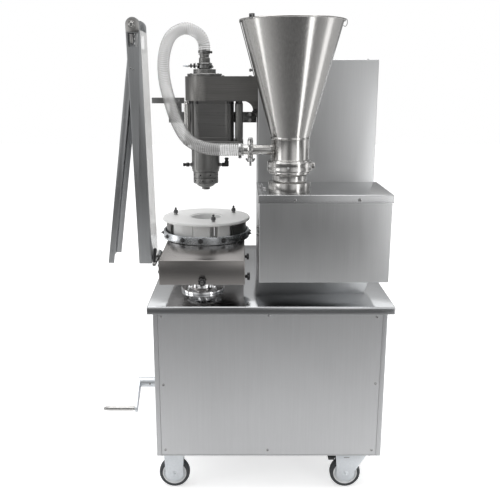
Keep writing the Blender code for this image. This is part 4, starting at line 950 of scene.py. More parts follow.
collar = turned("collar", [(0.0, 0.0040), (0.0235, 0.0040), (0.0245, 0.0030), (0.0245, 0.0010),
                           (0.0200, 0.0000), (0.0, 0.0000)], (-0.0585, HOP_Y, PORT_Z), POLISHED, 56,
                "-X")
join(cone, port, collar)
cut(cone, rod("bore", 0.0130, (HOP_X - 0.020, HOP_Y, PORT_Z), (-0.0800, HOP_Y, PORT_Z), steps=40))
piece(cone, "hopper_shell", "base", ["hopper"], smooth=32)
# weld beads: down the back of the cone, round the neck and round the port
beads = [wire("bead", [(HOP_X + (r + 0.0014) * math.cos(1.9), HOP_Y + (r + 0.0014) * math.sin(1.9), z)
                       for r, z in ((NECK_R + (RIM_R - NECK_R) * k / 40,
                                     CONE_Z + (RIM_Z - 0.009 - CONE_Z) * k / 40) for k in range(41))],
              0.0007, POLISHED, 6),
         wire("bead", [(HOP_X - NECK_R - 0.0006 + 0.0024 * math.cos(a * 2) * 0.3,
                        HOP_Y + 0.0150 * math.cos(a), PORT_Z + 0.0150 * math.sin(a))
                       for a in (2 * math.pi * k / 48 for k in range(48))], 0.0010, TURNED, 6, True)]
piece(together("hopper_welds", *beads), "hopper_welds", "base", smooth=60)


def on_cone(angle, z, out=0.0):
    r = NECK_R + (RIM_R - NECK_R) * (z - CONE_Z) / (RIM_Z - CONE_Z) + out
    return Vector((HOP_X + r * math.cos(angle), HOP_Y + r * math.sin(angle), z))


stay = [on_cone(math.pi * 1.04, z, 0.0036) for z in
        (1.4640, 1.4500, 1.4300, 1.4100, 1.3900, 1.3700, 1.3500, 1.3330, 1.3200, 1.3080)]
stay[-1] = on_cone(math.pi * 1.04, 1.3050, 0.0012)
clip_at = Vector((-0.0620, 0.0040, 1.4700))
fittings = [wire("stay", through(stay, 40), 0.0012, BRACKET, 8)]
knob_at = on_cone(math.pi * 1.04, 1.3320, 0.0040)
fittings.append(turned("stay_knob", [(0.0, 0.0100), (0.0030, 0.0098), (0.0046, 0.0080),
                                     (0.0046, 0.0045), (0.0026, 0.0030), (0.0026, 0.0), (0.0, 0.0)],
                       knob_at, BRACKET, 24, "-X"))
fittings.append(cap_screw(on_cone(math.pi * 1.04, 1.4650, 0.0004), (-1, 0, 0.2), 0.0040, 0.0050, BRACKET))
a = math.atan2(clip_at.y - HOP_Y, clip_at.x - HOP_X)
clip = box("clip", (-0.0075, -0.0045, -0.0060), (0.0075, 0.0045, 0.0075), BRACKET)
rounded_edges(clip, 0.0012, 3)
apply(clip)
clip.data.transform(Matrix.Translation(Vector((HOP_X + RIM_R * math.cos(a), HOP_Y + RIM_R * math.sin(a),
                                               RIM_Z + 0.0010))) @ Matrix.Rotation(a + math.pi / 2, 4, "Z"))
fittings.append(clip)
fittings.append(turned("clip_bolt", [(0.0, 0.0046), (0.0026, 0.0044), (0.0036, 0.0034),
                                     (0.0038, 0.0), (0.0, 0.0)],
                       (HOP_X + (RIM_R + 0.0040) * math.cos(a), HOP_Y + (RIM_R + 0.0040) * math.sin(a),
                        RIM_Z + 0.0020), BLACK, 24, "-Y"))
hook = [(HOP_X + RIM_R - 0.0010, HOP_Y, RIM_Z + 0.0012), (HOP_X + RIM_R + 0.0030, HOP_Y, RIM_Z + 0.0024),
        (HOP_X + RIM_R + 0.0070, HOP_Y, RIM_Z - 0.0010), (HOP_X + RIM_R + 0.0080, HOP_Y, RIM_Z - 0.0080),
        (HOP_X + RIM_R + 0.0064, HOP_Y, RIM_Z - 0.0150), (HOP_X + RIM_R + 0.0020, HOP_Y, RIM_Z - 0.0190),
        (HOP_X + RIM_R - 0.0030, HOP_Y, RIM_Z - 0.0160)]
fittings.append(wire("hook", through(hook, 24), 0.0010, BOLT, 8))
piece(together("hopper_fittings", *fittings), "hopper_fittings", "base", smooth=40)

piece(turned("base_cup",
             [(0.0200, 0.0617), (0.0618, 0.0617), (0.0620, 0.0612), (0.0620, 0.0545),
              (0.0520, 0.0505), (0.0510, 0.0490), (0.0510, 0.0345), (0.0525, 0.0325),
              (0.0600, 0.0302), (0.0636, 0.0290), (0.0640, 0.0270), (0.0640, 0.0000),
              (0.0200, 0.0000)], (HOP_X, HOP_Y, LID_Z + GAP), POLISHED, 112, "Z", 0.0008),
      "hopper_socket", "base", ["hopper_base"])
ring = turned("band", [(0.0623, 0.0300), (0.0660, 0.0300), (0.0672, 0.0288), (0.0675, 0.0240),
                       (0.0668, 0.0200), (0.0668, 0.0100), (0.0675, 0.0060), (0.0672, 0.0012),
                       (0.0660, 0.0000), (0.0623, 0.0000)], (HOP_X, HOP_Y, 1.0410), POLISHED, 112, "Z",
              0.0007)
cut(ring, box("slit", (HOP_X + 0.0500, HOP_Y - 0.0015, 1.0300), (HOP_X + 0.0950, HOP_Y + 0.0015, 1.0800)))
ears = []
for side in (-1, 1):
    ear = box("ear", (HOP_X + 0.0655, HOP_Y + (0.0018 if side > 0 else -0.0108), 1.0480),
              (HOP_X + 0.0745, HOP_Y + (0.0108 if side > 0 else -0.0018), 1.0640), POLISHED)
    rounded_edges(ear, 0.0016, 3)
    ears.append(apply(ear))
ears.append(rod("pin", 0.0022, (HOP_X + 0.0708, HOP_Y - 0.0125, 1.0560),
                (HOP_X + 0.0708, HOP_Y + 0.0125, 1.0560), BOLT))
for deg in (-98, -35, -160, 70, 130):
    a = math.radians(deg)
    ears.append(dome_screw((HOP_X + 0.0667 * math.cos(a), HOP_Y + 0.0667 * math.sin(a), 1.0560),
                           (math.cos(a), math.sin(a), 0), 0.0032, 0.0016, CHROME))
piece(together("clamp_band", ring, *ears), "clamp_band", "base", ["hopper_clamp_ring"])

agit = rod("agitator", 0.0088, (HOP_X, HOP_Y, 0.9200), (HOP_X, HOP_Y, 1.2600), TURNED, 40, 0.0015)
join(agit, rod("a", 0.0044, (HOP_X, HOP_Y, 1.0760), (HOP_X + 0.0478, HOP_Y, 1.0760)),
     rod("b", 0.0044, (HOP_X, HOP_Y, 1.2450), (HOP_X - 0.0678, HOP_Y, 1.2450)),
     rod("c", 0.0044, (HOP_X, HOP_Y, 1.1600), (HOP_X + 0.0518, HOP_Y, 1.1600)),
     box("d", (HOP_X + 0.0440, HOP_Y - 0.0019, 1.0722), (HOP_X + 0.0498, HOP_Y + 0.0019, 1.1638)))
piece(agit, "agitator_shaft", "agitator", ["hopper_agitator"], smooth=35)

# ------------------------------------------------------------ side port
piece(turned("tail", [(0.0110, 0.0332), (0.0135, 0.0332), (0.0143, 0.0322), (0.0138, 0.0300),
                      (0.0143, 0.0280), (0.0138, 0.0258), (0.0143, 0.0238), (0.0138, 0.0216),
                      (0.0143, 0.0196), (0.0143, 0.0110), (0.0150, 0.0060), (0.0245, 0.0040),
                      (0.0245, 0.0000), (0.0110, 0.0000)], (-0.0628, HOP_Y, PORT_Z), TURNED, 56, "-X",
             0.0005), "port_tail", "base", ["port_hose_tail"])
port_ring = turned("pr", [(0.0250, 0.0160), (0.0292, 0.0160), (0.0312, 0.0125), (0.0315, 0.0080),
                          (0.0312, 0.0035), (0.0292, 0.0000), (0.0250, 0.0000)],
                   (-0.0707, HOP_Y, PORT_Z), TURNED, 64, "X", 0.0008)
bolt_y = HOP_Y - 0.0400
lugs = []
for z0, z1 in ((PORT_Z + 0.0110, PORT_Z + 0.0190), (PORT_Z - 0.0190, PORT_Z - 0.0110)):
    lug = box("lug", (-0.0687, bolt_y - 0.0060, z0), (-0.0567, bolt_y + 0.0170, z1), TURNED)
    rounded_edges(lug, 0.0018, 3)
    lugs.append(apply(lug))
lugs.append(turned("bolt", thread_profile(0.0034, PORT_Z + 0.0350, PORT_Z - 0.0440),
                   (-0.0627, bolt_y, 0), BOLT, 20, "Z", 0.0))
lugs.append(turned("head", [(0.0, 0.0060), (0.0050, 0.0058), (0.0064, 0.0046), (0.0064, 0.0010),
                            (0.0050, 0.0), (0.0, 0.0)], (-0.0627, bolt_y, PORT_Z + 0.0330), BOLT, 28))
lever = plate("lever", slot_points((-0.0680, bolt_y - 0.0020), (-0.0360, bolt_y - 0.0060), 0.0055,
                                   0.0078, 14), 0.0020, (0, 0, PORT_Z - 0.0035), TURNED)
rounded_edges(lever, 0.0008, 2)
lugs.append(apply(lever))
piece(together("port_clamp_ring", port_ring, *lugs), "port_clamp_ring", "base",
      ["port_clamp"], smooth=40)
wing = turned("wing", [(0.0040, 0.0070), (0.0060, 0.0070), (0.0066, 0.0050), (0.0075, -0.0040),
                       (0.0070, -0.0050), (0.0040, -0.0050)], (-0.0627, bolt_y, PORT_Z - 0.0265), BOLT,
              32, "Z", 0.0006)
ears = []
for sign in (-1, 1):
    outline = slot_points((-0.0627 + sign * 0.0060, PORT_Z - 0.0290), (-0.0627 + sign * 0.0118,
                                                                      PORT_Z - 0.0232), 0.0036, 0.0030, 10)
    ear = plate("ear", outline, 0.0024, (0, bolt_y, 0), BOLT, (math.pi / 2, 0, 0))
    rounded_edges(ear, 0.0009, 2)
    ears.append(apply(ear))
piece(together("wing_nut", wing, *ears), "wing_nut", "port_wing_nut",
      ["port_wing_nut"], smooth=40)
# worm-drive hose clips at both hose ends
clips = [turned("clip", [(0.0192, 0.0080), (0.0200, 0.0080), (0.0203, 0.0066), (0.0200, 0.0040),
                         (0.0203, 0.0014), (0.0200, 0.0000), (0.0192, 0.0000)],
                (-0.0975, HOP_Y, PORT_Z), BOLT, 64, "X", 0.0003),
         turned("clip", [(0.0192, 0.0080), (0.0200, 0.0080), (0.0203, 0.0066), (0.0200, 0.0040),
                         (0.0203, 0.0014), (0.0200, 0.0000), (0.0192, 0.0000)],
                (HEAD_X, HEAD_Y, 1.3900), BRACKET, 64, "Z", 0.0003)]
housing = box("worm", (-0.0985, HOP_Y - 0.0060, PORT_Z - 0.0255), (-0.0885, HOP_Y + 0.0060, PORT_Z - 0.0195),
              BOLT)
rounded_edges(housing, 0.0012, 2)
clips.append(apply(housing))
clips.append(cap_screw((-0.0935, HOP_Y - 0.0060, PORT_Z - 0.0225), (0, -1, 0), 0.0030, 0.0036))
housing = box("worm", (HEAD_X - 0.0050, HEAD_Y - 0.0255, 1.3890), (HEAD_X + 0.0075, HEAD_Y - 0.0195,
                                                                1.3990), BRACKET)
rounded_edges(housing, 0.0012, 2)
clips.append(apply(housing))
clips.append(turned("screw", [(0.0, 0.0070), (0.0030, 0.0068), (0.0042, 0.0050), (0.0042, 0.0020),
                              (0.0020, 0.0010), (0.0020, 0.0), (0.0, 0.0)],
                    (HEAD_X + 0.0195, HEAD_Y - 0.0120, 1.3925), BLACK, 24, "X"))
hose_clips = piece(together("hose_clips", *clips), "hose_clips", "base", smooth=40)

# ------------------------------------------------------------ filling head
ARM_R, ARM_Z0, ARM_Z1, ARM_CX, MOTOR_X = 0.0800, 1.2383, 1.3166, -0.1944, -0.1530
arm_line = ([(-0.0365, HEAD_Y - ARM_R)] + [(-0.0365, HEAD_Y + ARM_R)]
            + [(ARM_CX + ARM_R * math.cos(a), HEAD_Y + ARM_R * math.sin(a))
               for a in (math.pi / 2 + math.pi * i / 56 for i in range(57))])
arm = plate("arm", arm_line, ARM_Z1 - ARM_Z0, (0, 0, (ARM_Z0 + ARM_Z1) / 2), ARM)
gusset = [(-0.0365, ARM_Z0 + 0.004), (-0.0365, ARM_Z0 - 0.0560)] + [
    (-0.0840 + 0.034 * math.cos(a), ARM_Z0 - 0.0340 + 0.034 * math.sin(a))
    for a in (math.pi / 2 * i / 20 for i in range(21))] + [(-0.0840, ARM_Z0 + 0.004)]
join(arm, plate("gusset", gusset, 0.0900, (0, HEAD_Y, 0), None, (math.pi / 2, 0, 0)))
inner = ARM_R - 0.006
arm_inner = [(0.0, HEAD_Y - inner), (0.0, HEAD_Y + inner)] + [
    (ARM_CX + inner * math.cos(a), HEAD_Y + inner * math.sin(a))
    for a in (math.pi / 2 + math.pi * i / 40 for i in range(41))]
cut(arm, plate("cavity", arm_inner, ARM_Z1 - ARM_Z0 - 0.012, (0, 0, (ARM_Z0 + ARM_Z1) / 2)),
    rod("s", 0.0190, (HEAD_X, HEAD_Y, 1.15), (HEAD_X, HEAD_Y, 1.40), steps=40),
    rod("m", 0.0130, (MOTOR_X, HEAD_Y, 1.15), (MOTOR_X, HEAD_Y, 1.28), steps=32))
piece(arm, "arm_casting", "base", ["belt_arm"], edge=0.0020, segments=3)

# cover seam under the arm's top edge and its screws
seam = [(x, y, ARM_Z0 + 0.0030) for x, y in
        [(-0.0800 - 0.1144 * k / 10, HEAD_Y - ARM_R) for k in range(11)]
        + [(ARM_CX + ARM_R * math.cos(a), HEAD_Y + ARM_R * math.sin(a))
           for a in (-math.pi / 2 - math.pi * i / 40 for i in range(1, 41))]
        + [(-0.1944 + 0.1144 * k / 10, HEAD_Y + ARM_R) for k in range(1, 11)]]
joint = wire("seam", seam, 0.0005, BLACK, 6)
under = []
for x, dy in ((-0.2560, -0.050), (-0.2325, -0.066), (-0.1280, -0.068), (-0.1040, -0.068),
              (-0.2560, 0.050), (-0.2325, 0.066), (-0.1280, 0.068), (-0.1040, 0.068)):
    under.append(cap_screw((x, HEAD_Y + dy, ARM_Z0 - GAP), (0, 0, -1), 0.0036, 0.0085, BLACK))
top_screws = []
for deg in (20, 110, 200, 290):
    a = math.radians(deg)
    top_screws.append(cap_screw((HEAD_X + 0.0470 * math.cos(a), HEAD_Y + 0.0470 * math.sin(a), 1.3250),
                                (0, 0, 1), 0.0028, 0.0014, BRACKET))
for x, dy in ((-0.0600, -0.064), (-0.0600, 0.064), (-0.1500, -0.066), (-0.1500, 0.066)):
    top_screws.append(cap_screw((x, HEAD_Y + dy, ARM_Z1), (0, 0, 1), 0.0036, 0.0036, BOLT))
piece(together("arm_screws", joint, *under, *top_screws), "arm_screws", "base", smooth=35)

piece(turned("inlet",
             [(0.0100, 1.3985), (0.0140, 1.3985), (0.0155, 1.3970), (0.0150, 1.3935),
              (0.0155, 1.3905), (0.0150, 1.3870), (0.0155, 1.3840), (0.0150, 1.3800),
              (0.0155, 1.3765), (0.0180, 1.3740), (0.0182, 1.3620), (0.0182, 1.3400),
              (0.0368, 1.3390), (0.0370, 1.3378), (0.0370, 1.3262), (0.0376, 1.3252),
              (0.0560, 1.3250), (0.0570, 1.3240), (0.0570, 1.3180), (0.0562, ARM_Z1 + GAP),
              (0.0100, ARM_Z1 + GAP)], (HEAD_X, HEAD_Y, 0), HEAD, 96, "Z", 0.0007),
      "inlet_stack", "base", ["inlet_fitting"])
clampr = turned("ic", [(0.0186, 0.0180), (0.0236, 0.0180), (0.0250, 0.0160), (0.0238, 0.0115),
                       (0.0238, 0.0065), (0.0250, 0.0020), (0.0236, 0.0000), (0.0186, 0.0000)],
                (HEAD_X, HEAD_Y, 1.3410), BRACKET, 72, "Z", 0.0007)
cy = HEAD_Y - 0.0120
bits = [rod("stud", 0.0035, (HEAD_X - 0.0200, cy, 1.3500), (HEAD_X - 0.0560, cy, 1.3500), BOLT)]
bits += hex_bolt((HEAD_X - 0.0290, cy, 1.3500), (-1, 0, 0), 0.0080, 0.0065, BLACK)
bits += hex_bolt((HEAD_X - 0.0400, cy, 1.3500), (-1, 0, 0), 0.0068, 0.0060, BLACK, washer=False)
bits.append(turned("tip", [(0.0, 0.0190), (0.0018, 0.0180), (0.0040, 0.0060), (0.0044, 0.0010),
                           (0.0038, 0.0), (0.0, 0.0)], (HEAD_X - 0.0520, cy, 1.3495), ZINC, 28, "-X"))
handle = plate("handle", slot_points((HEAD_X + 0.0180, 1.3560), (HEAD_X + 0.0270, 1.3460), 0.0045,
                                     0.0030, 10), 0.0080, (0, HEAD_Y - 0.0130, 0), BRACKET,
               (math.pi / 2, 0, 0))
rounded_edges(handle, 0.0010, 2)
bits.append(apply(handle))
piece(together("top_clamp", clampr, *bits), "top_clamp", "base", ["inlet_clamp"],
      smooth=38)

hf = plate("hf", fillet([(-0.2800, HEAD_Y - 0.066), (-0.0830, HEAD_Y - 0.066),
                         (-0.0830, HEAD_Y + 0.066), (-0.2800, HEAD_Y + 0.066)], 0.0180, True, 8),
           0.0110, (0, 0, 1.1045), HEAD)
cut(hf, rod("c", 0.0136, (HEAD_X, HEAD_Y, 1.05), (HEAD_X, HEAD_Y, 1.15), steps=40))
rounded_edges(hf, 0.0012, 3)
apply(hf)
posts = []
for x, dy, r in ((-0.2683, -0.056, 0.0075), (-0.2683, 0.056, 0.0075), (-0.0970, -0.050, 0.0130),
                 (-0.0970, 0.050, 0.0130)):
    posts.append(turned("post", [(0.0, ARM_Z0 - GAP), (r * 0.86, ARM_Z0 - GAP),
                                 (r * 0.86, ARM_Z0 - 0.0070), (r, ARM_Z0 - 0.0085), (r, 1.1200),
                                 (r * 0.86, 1.1185), (r * 0.86, 1.1080), (0.0, 1.1080)],
                        (x, HEAD_Y + dy, 0), POLISHED if r < 0.01 else HEAD, 48, "Z",
                        0.0005))
for x, dy in ((-0.2683, -0.056), (-0.2683, 0.056), (-0.0970, -0.050), (-0.0970, 0.050)):
    posts += hex_bolt((x, HEAD_Y + dy, 1.0990), (0, 0, -1), 0.0060, 0.0045, BRACKET)
for deg in range(0, 360, 60):
    a = math.radians(deg + 15)
    posts.append(cap_screw((HEAD_X + 0.0555 * math.cos(a), HEAD_Y + 0.0555 * math.sin(a), 1.0990),
                           (0, 0, -1), 0.0034, 0.0040, BRACKET))
piece(together("head_plate", hf, *posts), "head_plate", "base", ["head_frame"],
      smooth=38, weighted=False)

CX0, CX1, CY0, CY1 = -0.2544, -0.1140, HEAD_Y - 0.0640, HEAD_Y + 0.0640


def rounded(x0, x1, y0, y1, r, n=14):
    return [(cx + r * math.cos(math.radians(a0 + 90 * i / n)),
             cy + r * math.sin(math.radians(a0 + 90 * i / n)))
            for cx, cy, a0 in ((x1 - r, y1 - r, 0), (x0 + r, y1 - r, 90), (x0 + r, y0 + r, 180),
                               (x1 - r, y0 + r, 270)) for i in range(n + 1)]


casing = plate("case", rounded(CX0, CX1, CY0, CY1, 0.030), ARM_Z0 - GAP - 1.1103,
               (0, 0, (ARM_Z0 - GAP + 1.1103) / 2), CASE,
               holes=[rounded(CX0 + 0.004, CX1 - 0.004, CY0 + 0.004, CY1 - 0.004, 0.026)[::-1]])
piece(casing, "head_case", "base", ["head_casing"], edge=0.0010, segments=2)
trims = []
for z in (1.1220, 1.2290):
    line = [(x, y, z) for x, y in rounded(CX0 - 0.0002, CX1 + 0.0002, CY0 - 0.0002, CY1 + 0.0002, 0.0302)]
    trims.append(wire("line", line, 0.0008, HEAD, 6, True))
for x, z in ((-0.2380, 1.1160), (-0.1300, 1.1160)):
    trims.append(cap_screw((x, CY0 + 0.0035 if x < -0.2 else CY0 + 0.0035, z), (0, -1, 0), 0.0030, 0.0050,
                           BRACKET))
piece(together("case_trim", *trims), "case_trim", "base", smooth=50)

sh = turned("sh", [(0.0136, 0.0942), (0.0440, 0.0942), (0.0460, 0.0930), (0.0468, 0.0915),
                   (0.0468, 0.0780), (0.0462, 0.0774), (0.0462, 0.0766), (0.0468, 0.0760),
                   (0.0468, 0.0080), (0.0460, 0.0066), (0.0455, 0.0000), (0.0136, 0.0000)],
            (HEAD_X, HEAD_Y, 1.0046), HEAD, 112, "Z", 0.0006)
bits = []
for sx in (-1, 1):
    bits.append(rod("nip", 0.0050, (HEAD_X + sx * 0.0440, HEAD_Y, 1.0260),
                    (HEAD_X + sx * 0.0560, HEAD_Y, 1.0260), BOLT))
    bits += hex_bolt((HEAD_X + sx * 0.0466, HEAD_Y, 1.0260), (sx, 0, 0), 0.0066, 0.0050, BRACKET,
                     washer=False)
bits.append(turned("el", [(0.0, 0.0220), (0.0046, 0.0220), (0.0062, 0.0205), (0.0062, 0.0160),
                          (0.0050, 0.0150), (0.0050, 0.0120), (0.0072, 0.0105), (0.0074, 0.0020),
                          (0.0060, 0.0), (0.0, 0.0)], (HEAD_X - 0.0550, HEAD_Y, 1.0262), BLACK, 32, "-X"))
bits.append(turned("er", [(0.0, 0.0160), (0.0058, 0.0160), (0.0070, 0.0145), (0.0070, 0.0020),
                          (0.0056, 0.0), (0.0, 0.0)], (HEAD_X + 0.0540, HEAD_Y, 1.0262), BLACK, 32, "X"))
bits.append(turned("eu", [(0.0, 0.0300), (0.0060, 0.0300), (0.0072, 0.0285), (0.0072, 0.0240),
                          (0.0058, 0.0225), (0.0058, 0.0190), (0.0074, 0.0175), (0.0074, 0.0020),
                          (0.0056, 0.0), (0.0, 0.0)], (HEAD_X + 0.0710, HEAD_Y, 1.0200), BLACK, 32, "Z"))
for deg in (-128, -62, 10, 60, 118, 178):
    a = math.radians(deg)
    x, y = HEAD_X + 0.0468 * math.cos(a), HEAD_Y + 0.0468 * math.sin(a)
    bits.append(wire("rib", [(x, y, 1.0130 + 0.0660 * k / 6) for k in range(7)], 0.0008, BRACKET, 6))
piece(together("spindle_tube", sh, *bits), "spindle_tube", "base", ["spindle_housing"],
      smooth=35)
rings = turned("lr", [(0.0206, 1.0043), (0.0412, 1.0043), (0.0424, 1.0030), (0.0424, 0.9856),
                      (0.0403, 0.9847), (0.0403, 0.9839), (0.0424, 0.9830), (0.0424, 0.9658),
                      (0.0412, 0.9646), (0.0206, 0.9646)], (HEAD_X, HEAD_Y, 0), HEAD, 96, "Z", 0.0004)
holes = []
for z, turn in ((0.9945, 0), (0.9745, 12)):
    for degrees in (-112, -66, -20, 24, 70, 116, 160, 206):
        a = math.radians(degrees + turn)
        holes.append(rod("h", 0.0027, (HEAD_X + 0.0340 * math.cos(a), HEAD_Y + 0.0340 * math.sin(a), z),
                         (HEAD_X + 0.0500 * math.cos(a), HEAD_Y + 0.0500 * math.sin(a), z), None, 16))
cut(rings, *holes)
piece(rings, "spanner_rings", "spindle", ["lock_rings"], smooth=35)
piece(turned("nose", [(0.0114, 0.9643), (0.0326, 0.9643), (0.0330, 0.9630), (0.0300, 0.9580),
                      (0.0240, 0.9535), (0.0165, 0.9505), (0.0138, 0.9494), (0.0135, 0.9484),
                      (0.0135, 0.9432), (0.0130, 0.9426), (0.0114, 0.9426)], (HEAD_X, HEAD_Y, 0), HEAD,
             72, "Z", 0.0005), "nose_cone", "spindle", ["spindle_nose"])

bar = join(box("bar", (-0.3400, HEAD_Y + 0.0820, 1.1620), (-0.0368, HEAD_Y + 0.0900, 1.1980), BRACKET),
           box("strap", (-0.3350, HEAD_Y + 0.0820, 1.1900), (-0.2950, HEAD_Y + 0.0900, 1.2420)),
           box("side", (-0.3970, HEAD_Y + 0.0810, 1.2270), (-0.2860, HEAD_Y + 0.1000, 1.2460)))
rounded_edges(bar, 0.0010, 2)
apply(bar)
bolts = []
for x, z in ((-0.3250, 1.1800), (-0.3050, 1.1800), (-0.0600, 1.1700), (-0.0600, 1.1900)):
    bolts += hex_bolt((x, HEAD_Y + 0.0820, z), (0, -1, 0), 0.0050, 0.0040, BOLT)
for x in (-0.3250, -0.3020):
    bolts += hex_bolt((x, HEAD_Y + 0.0810, 1.2365), (0, -1, 0), 0.0046, 0.0038, BOLT)
piece(together("back_bar", bar, *bolts), "back_bar", "base", ["rear_bracket"],
      smooth=40)
lobes = [(0.0078 + 0.0014 * math.cos(6 * a)) for a in (2 * math.pi * k / 60 for k in range(60))]
knob = plate("knob", [(-0.0455 + r * math.cos(2 * math.pi * k / 60), 1.2060 + r * math.sin(
    2 * math.pi * k / 60)) for k, r in enumerate(lobes)], 0.0110, (0, HEAD_Y - 0.0453 - 0.0140, 0),
    BLACK, (math.pi / 2, 0, 0))
rounded_edges(knob, 0.0016, 3)
apply(knob)
stem = rod("stem", 0.0040, (-0.0455, HEAD_Y - 0.0453, 1.2060), (-0.0455, HEAD_Y - 0.0560, 1.2060), BOLT)
piece(together("arm_lock_knob", knob, stem), "arm_lock_knob", "arm_knob", ["arm_knob"],
      smooth=38)

# ------------------------------------------------------------ lifting table
fl = turned("fl", [(0.0206, 0.0250), (0.0330, 0.0250), (0.0346, 0.0240), (0.0350, 0.0225),
                   (0.0350, 0.0125), (0.0362, 0.0108), (0.0680, 0.0100), (0.0697, 0.0088),
                   (0.0700, 0.0070), (0.0700, 0.0000), (0.0206, 0.0000)],
            (COL_X, COL_Y, TOP_Z + GAP), CHROME, 112, "Z", 0.0006)
bits = []
for deg in (45, 135, 225, 315):
    a = math.radians(deg)
    at = (COL_X + 0.0535 * math.cos(a), COL_Y + 0.0535 * math.sin(a), TOP_Z + GAP + 0.0098)
    bits += hex_bolt(at, (0, 0, 1), 0.0085, 0.0070, CHROME)
    bits.append(turned("dome", [(0.0, 0.0170), (0.0030, 0.0166), (0.0055, 0.0148), (0.0064, 0.0118),
                                (0.0066, 0.0068), (0.0, 0.0068)], at, CHROME, 32))
piece(together("column_collar", fl, *bits), "column_collar", "base", ["column_flange"],
      smooth=38)
lc = turned("lc", [(0.0000, TBL_Z0 - GAP), (0.0552, TBL_Z0 - GAP), (0.0560, TBL_Z0 - 0.0010),
                   (0.0560, TBL_Z0 - 0.0044), (0.0550, TBL_Z0 - 0.0052), (0.0215, TBL_Z0 - 0.0060),
                   (0.0202, TBL_Z0 - 0.0075), (0.0202, 0.4700), (0.0090, 0.4700), (0.0090, 0.6300),
                   (0.0000, 0.6300)], (COL_X, COL_Y, 0), CHROME, 96, "Z", 0.0004)
piece(lc, "lift_post", "table", ["lift_column"], smooth=35)
tb = tray("tb", (TBL_X0, TBL_Y0, TBL_Z0), (TBL_X1, TBL_Y1, TBL_Z1), TABLE, ("+y",), 0.0018)
cut(tb, rod("c", 0.0200, (HEAD_X, HEAD_Y, TBL_Z1 - 0.02), (HEAD_X, HEAD_Y, TBL_Z1 + 0.02), steps=48))
piece(tb, "table_case", "table", ["table_box"], smooth=50)
bits = [dome_screw((x, y, TBL_Z1), (0, 0, 1), 0.0036, 0.0016) for x, y in
        ((TBL_X0 + 0.012, TBL_Y1 - 0.012), (TBL_X1 - 0.012, TBL_Y1 - 0.012))]
bits += [dome_screw((TBL_X1, y, 0.7250), (1, 0, 0), 0.0036, 0.0018) for y in (0.32, 0.50)]
bits += [dome_screw((TBL_X0, y, 0.7250), (-1, 0, 0), 0.0036, 0.0018) for y in (0.32, 0.50)]
piece(together("table_screws", *bits), "table_screws", "table", smooth=35)

# vented rear cover of the table, screwed to its side flanges
vents = [slot_points((-0.2080 - 0.0500 + 0.0200 * k, 0.7240), (-0.2080 - 0.0500 + 0.0200 * k, 0.7520),
                     0.0030, 0.0030, 8)[::-1] for k in range(6)]
cover = plate("cover", fillet([(TBL_X0 + 0.0025, TBL_Z0 + 0.0008), (TBL_X1 - 0.0025, TBL_Z0 + 0.0008),
                               (TBL_X1 - 0.0025, TBL_Z1 - 0.0030), (TBL_X0 + 0.0025, TBL_Z1 - 0.0030)],
                              0.0030), 0.0015, (0, TBL_Y1 - 0.0020, 0), TABLE, (math.pi / 2, 0, 0),
              holes=vents)
bits = [dome_screw((x, TBL_Y1 - 0.00125, z), (0, 1, 0), 0.0034, 0.0011) for x, z in
        ((TBL_X0 + 0.0120, TBL_Z0 + 0.0100), (TBL_X1 - 0.0120, TBL_Z0 + 0.0100),
         (TBL_X0 + 0.0120, TBL_Z1 - 0.0120), (TBL_X1 - 0.0120, TBL_Z1 - 0.0120))]
piece(together("table_rear_cover", cover, *bits), "table_rear_cover", "table",
      smooth=35)

# plate carrier: base plate, band with adjusting screws
RING_R, RING_Z0, RING_Z1 = 0.1480, 0.7790, 0.8050
carrier = turned("carrier",
                 [(0.0000, 0.7990), (0.0296, 0.7990), (0.0304, 0.7980), (0.0310, 0.7900),
                  (0.0320, 0.7892), (0.1414, 0.7892), (0.1420, 0.7898), (0.1420, 0.8046),
                  (0.1426, RING_Z1), (0.1472, RING_Z1), (RING_R, 0.8042), (RING_R, 0.7800),
                  (0.1472, RING_Z0), (0.1420, RING_Z0), (0.1420, 0.7850), (0.0150, 0.7850),
                  (0.0150, 0.7600), (0.0080, 0.7590), (0.0080, 0.7300), (0.0000, 0.7300)],
                 (HEAD_X, HEAD_Y, 0), BAND, 144, "Z", 0.0005)
bits = []
for deg in (-95, -65, -120, -35):
    a = math.radians(deg)
    bits += hex_bolt((HEAD_X + 0.1478 * math.cos(a), HEAD_Y + 0.1478 * math.sin(a), 0.7925),
                     (math.cos(a), math.sin(a), 0), 0.0066, 0.0050, GREY)
for deg in (183, 168, -8, 8, -150, 30, 60, 100, 130):
    a = math.radians(deg)
    u = Vector((math.cos(a), math.sin(a), 0))
    at = Vector((HEAD_X, HEAD_Y, 0.7925)) + 0.1478 * u
    long = deg in (183, -8, 8, -150)
    bits += hex_bolt(at, u, 0.0058, 0.0042, GREY, tip=0.0022)
    if long:
        bits += hex_bolt(at + 0.0046 * u, u, 0.0040, 0.0030, BOLT, washer=False, tip=0.0022)
piece(together("carrier_band", carrier, *bits), "carrier_band", "turntable",
      ["clamp_ring"], smooth=38)

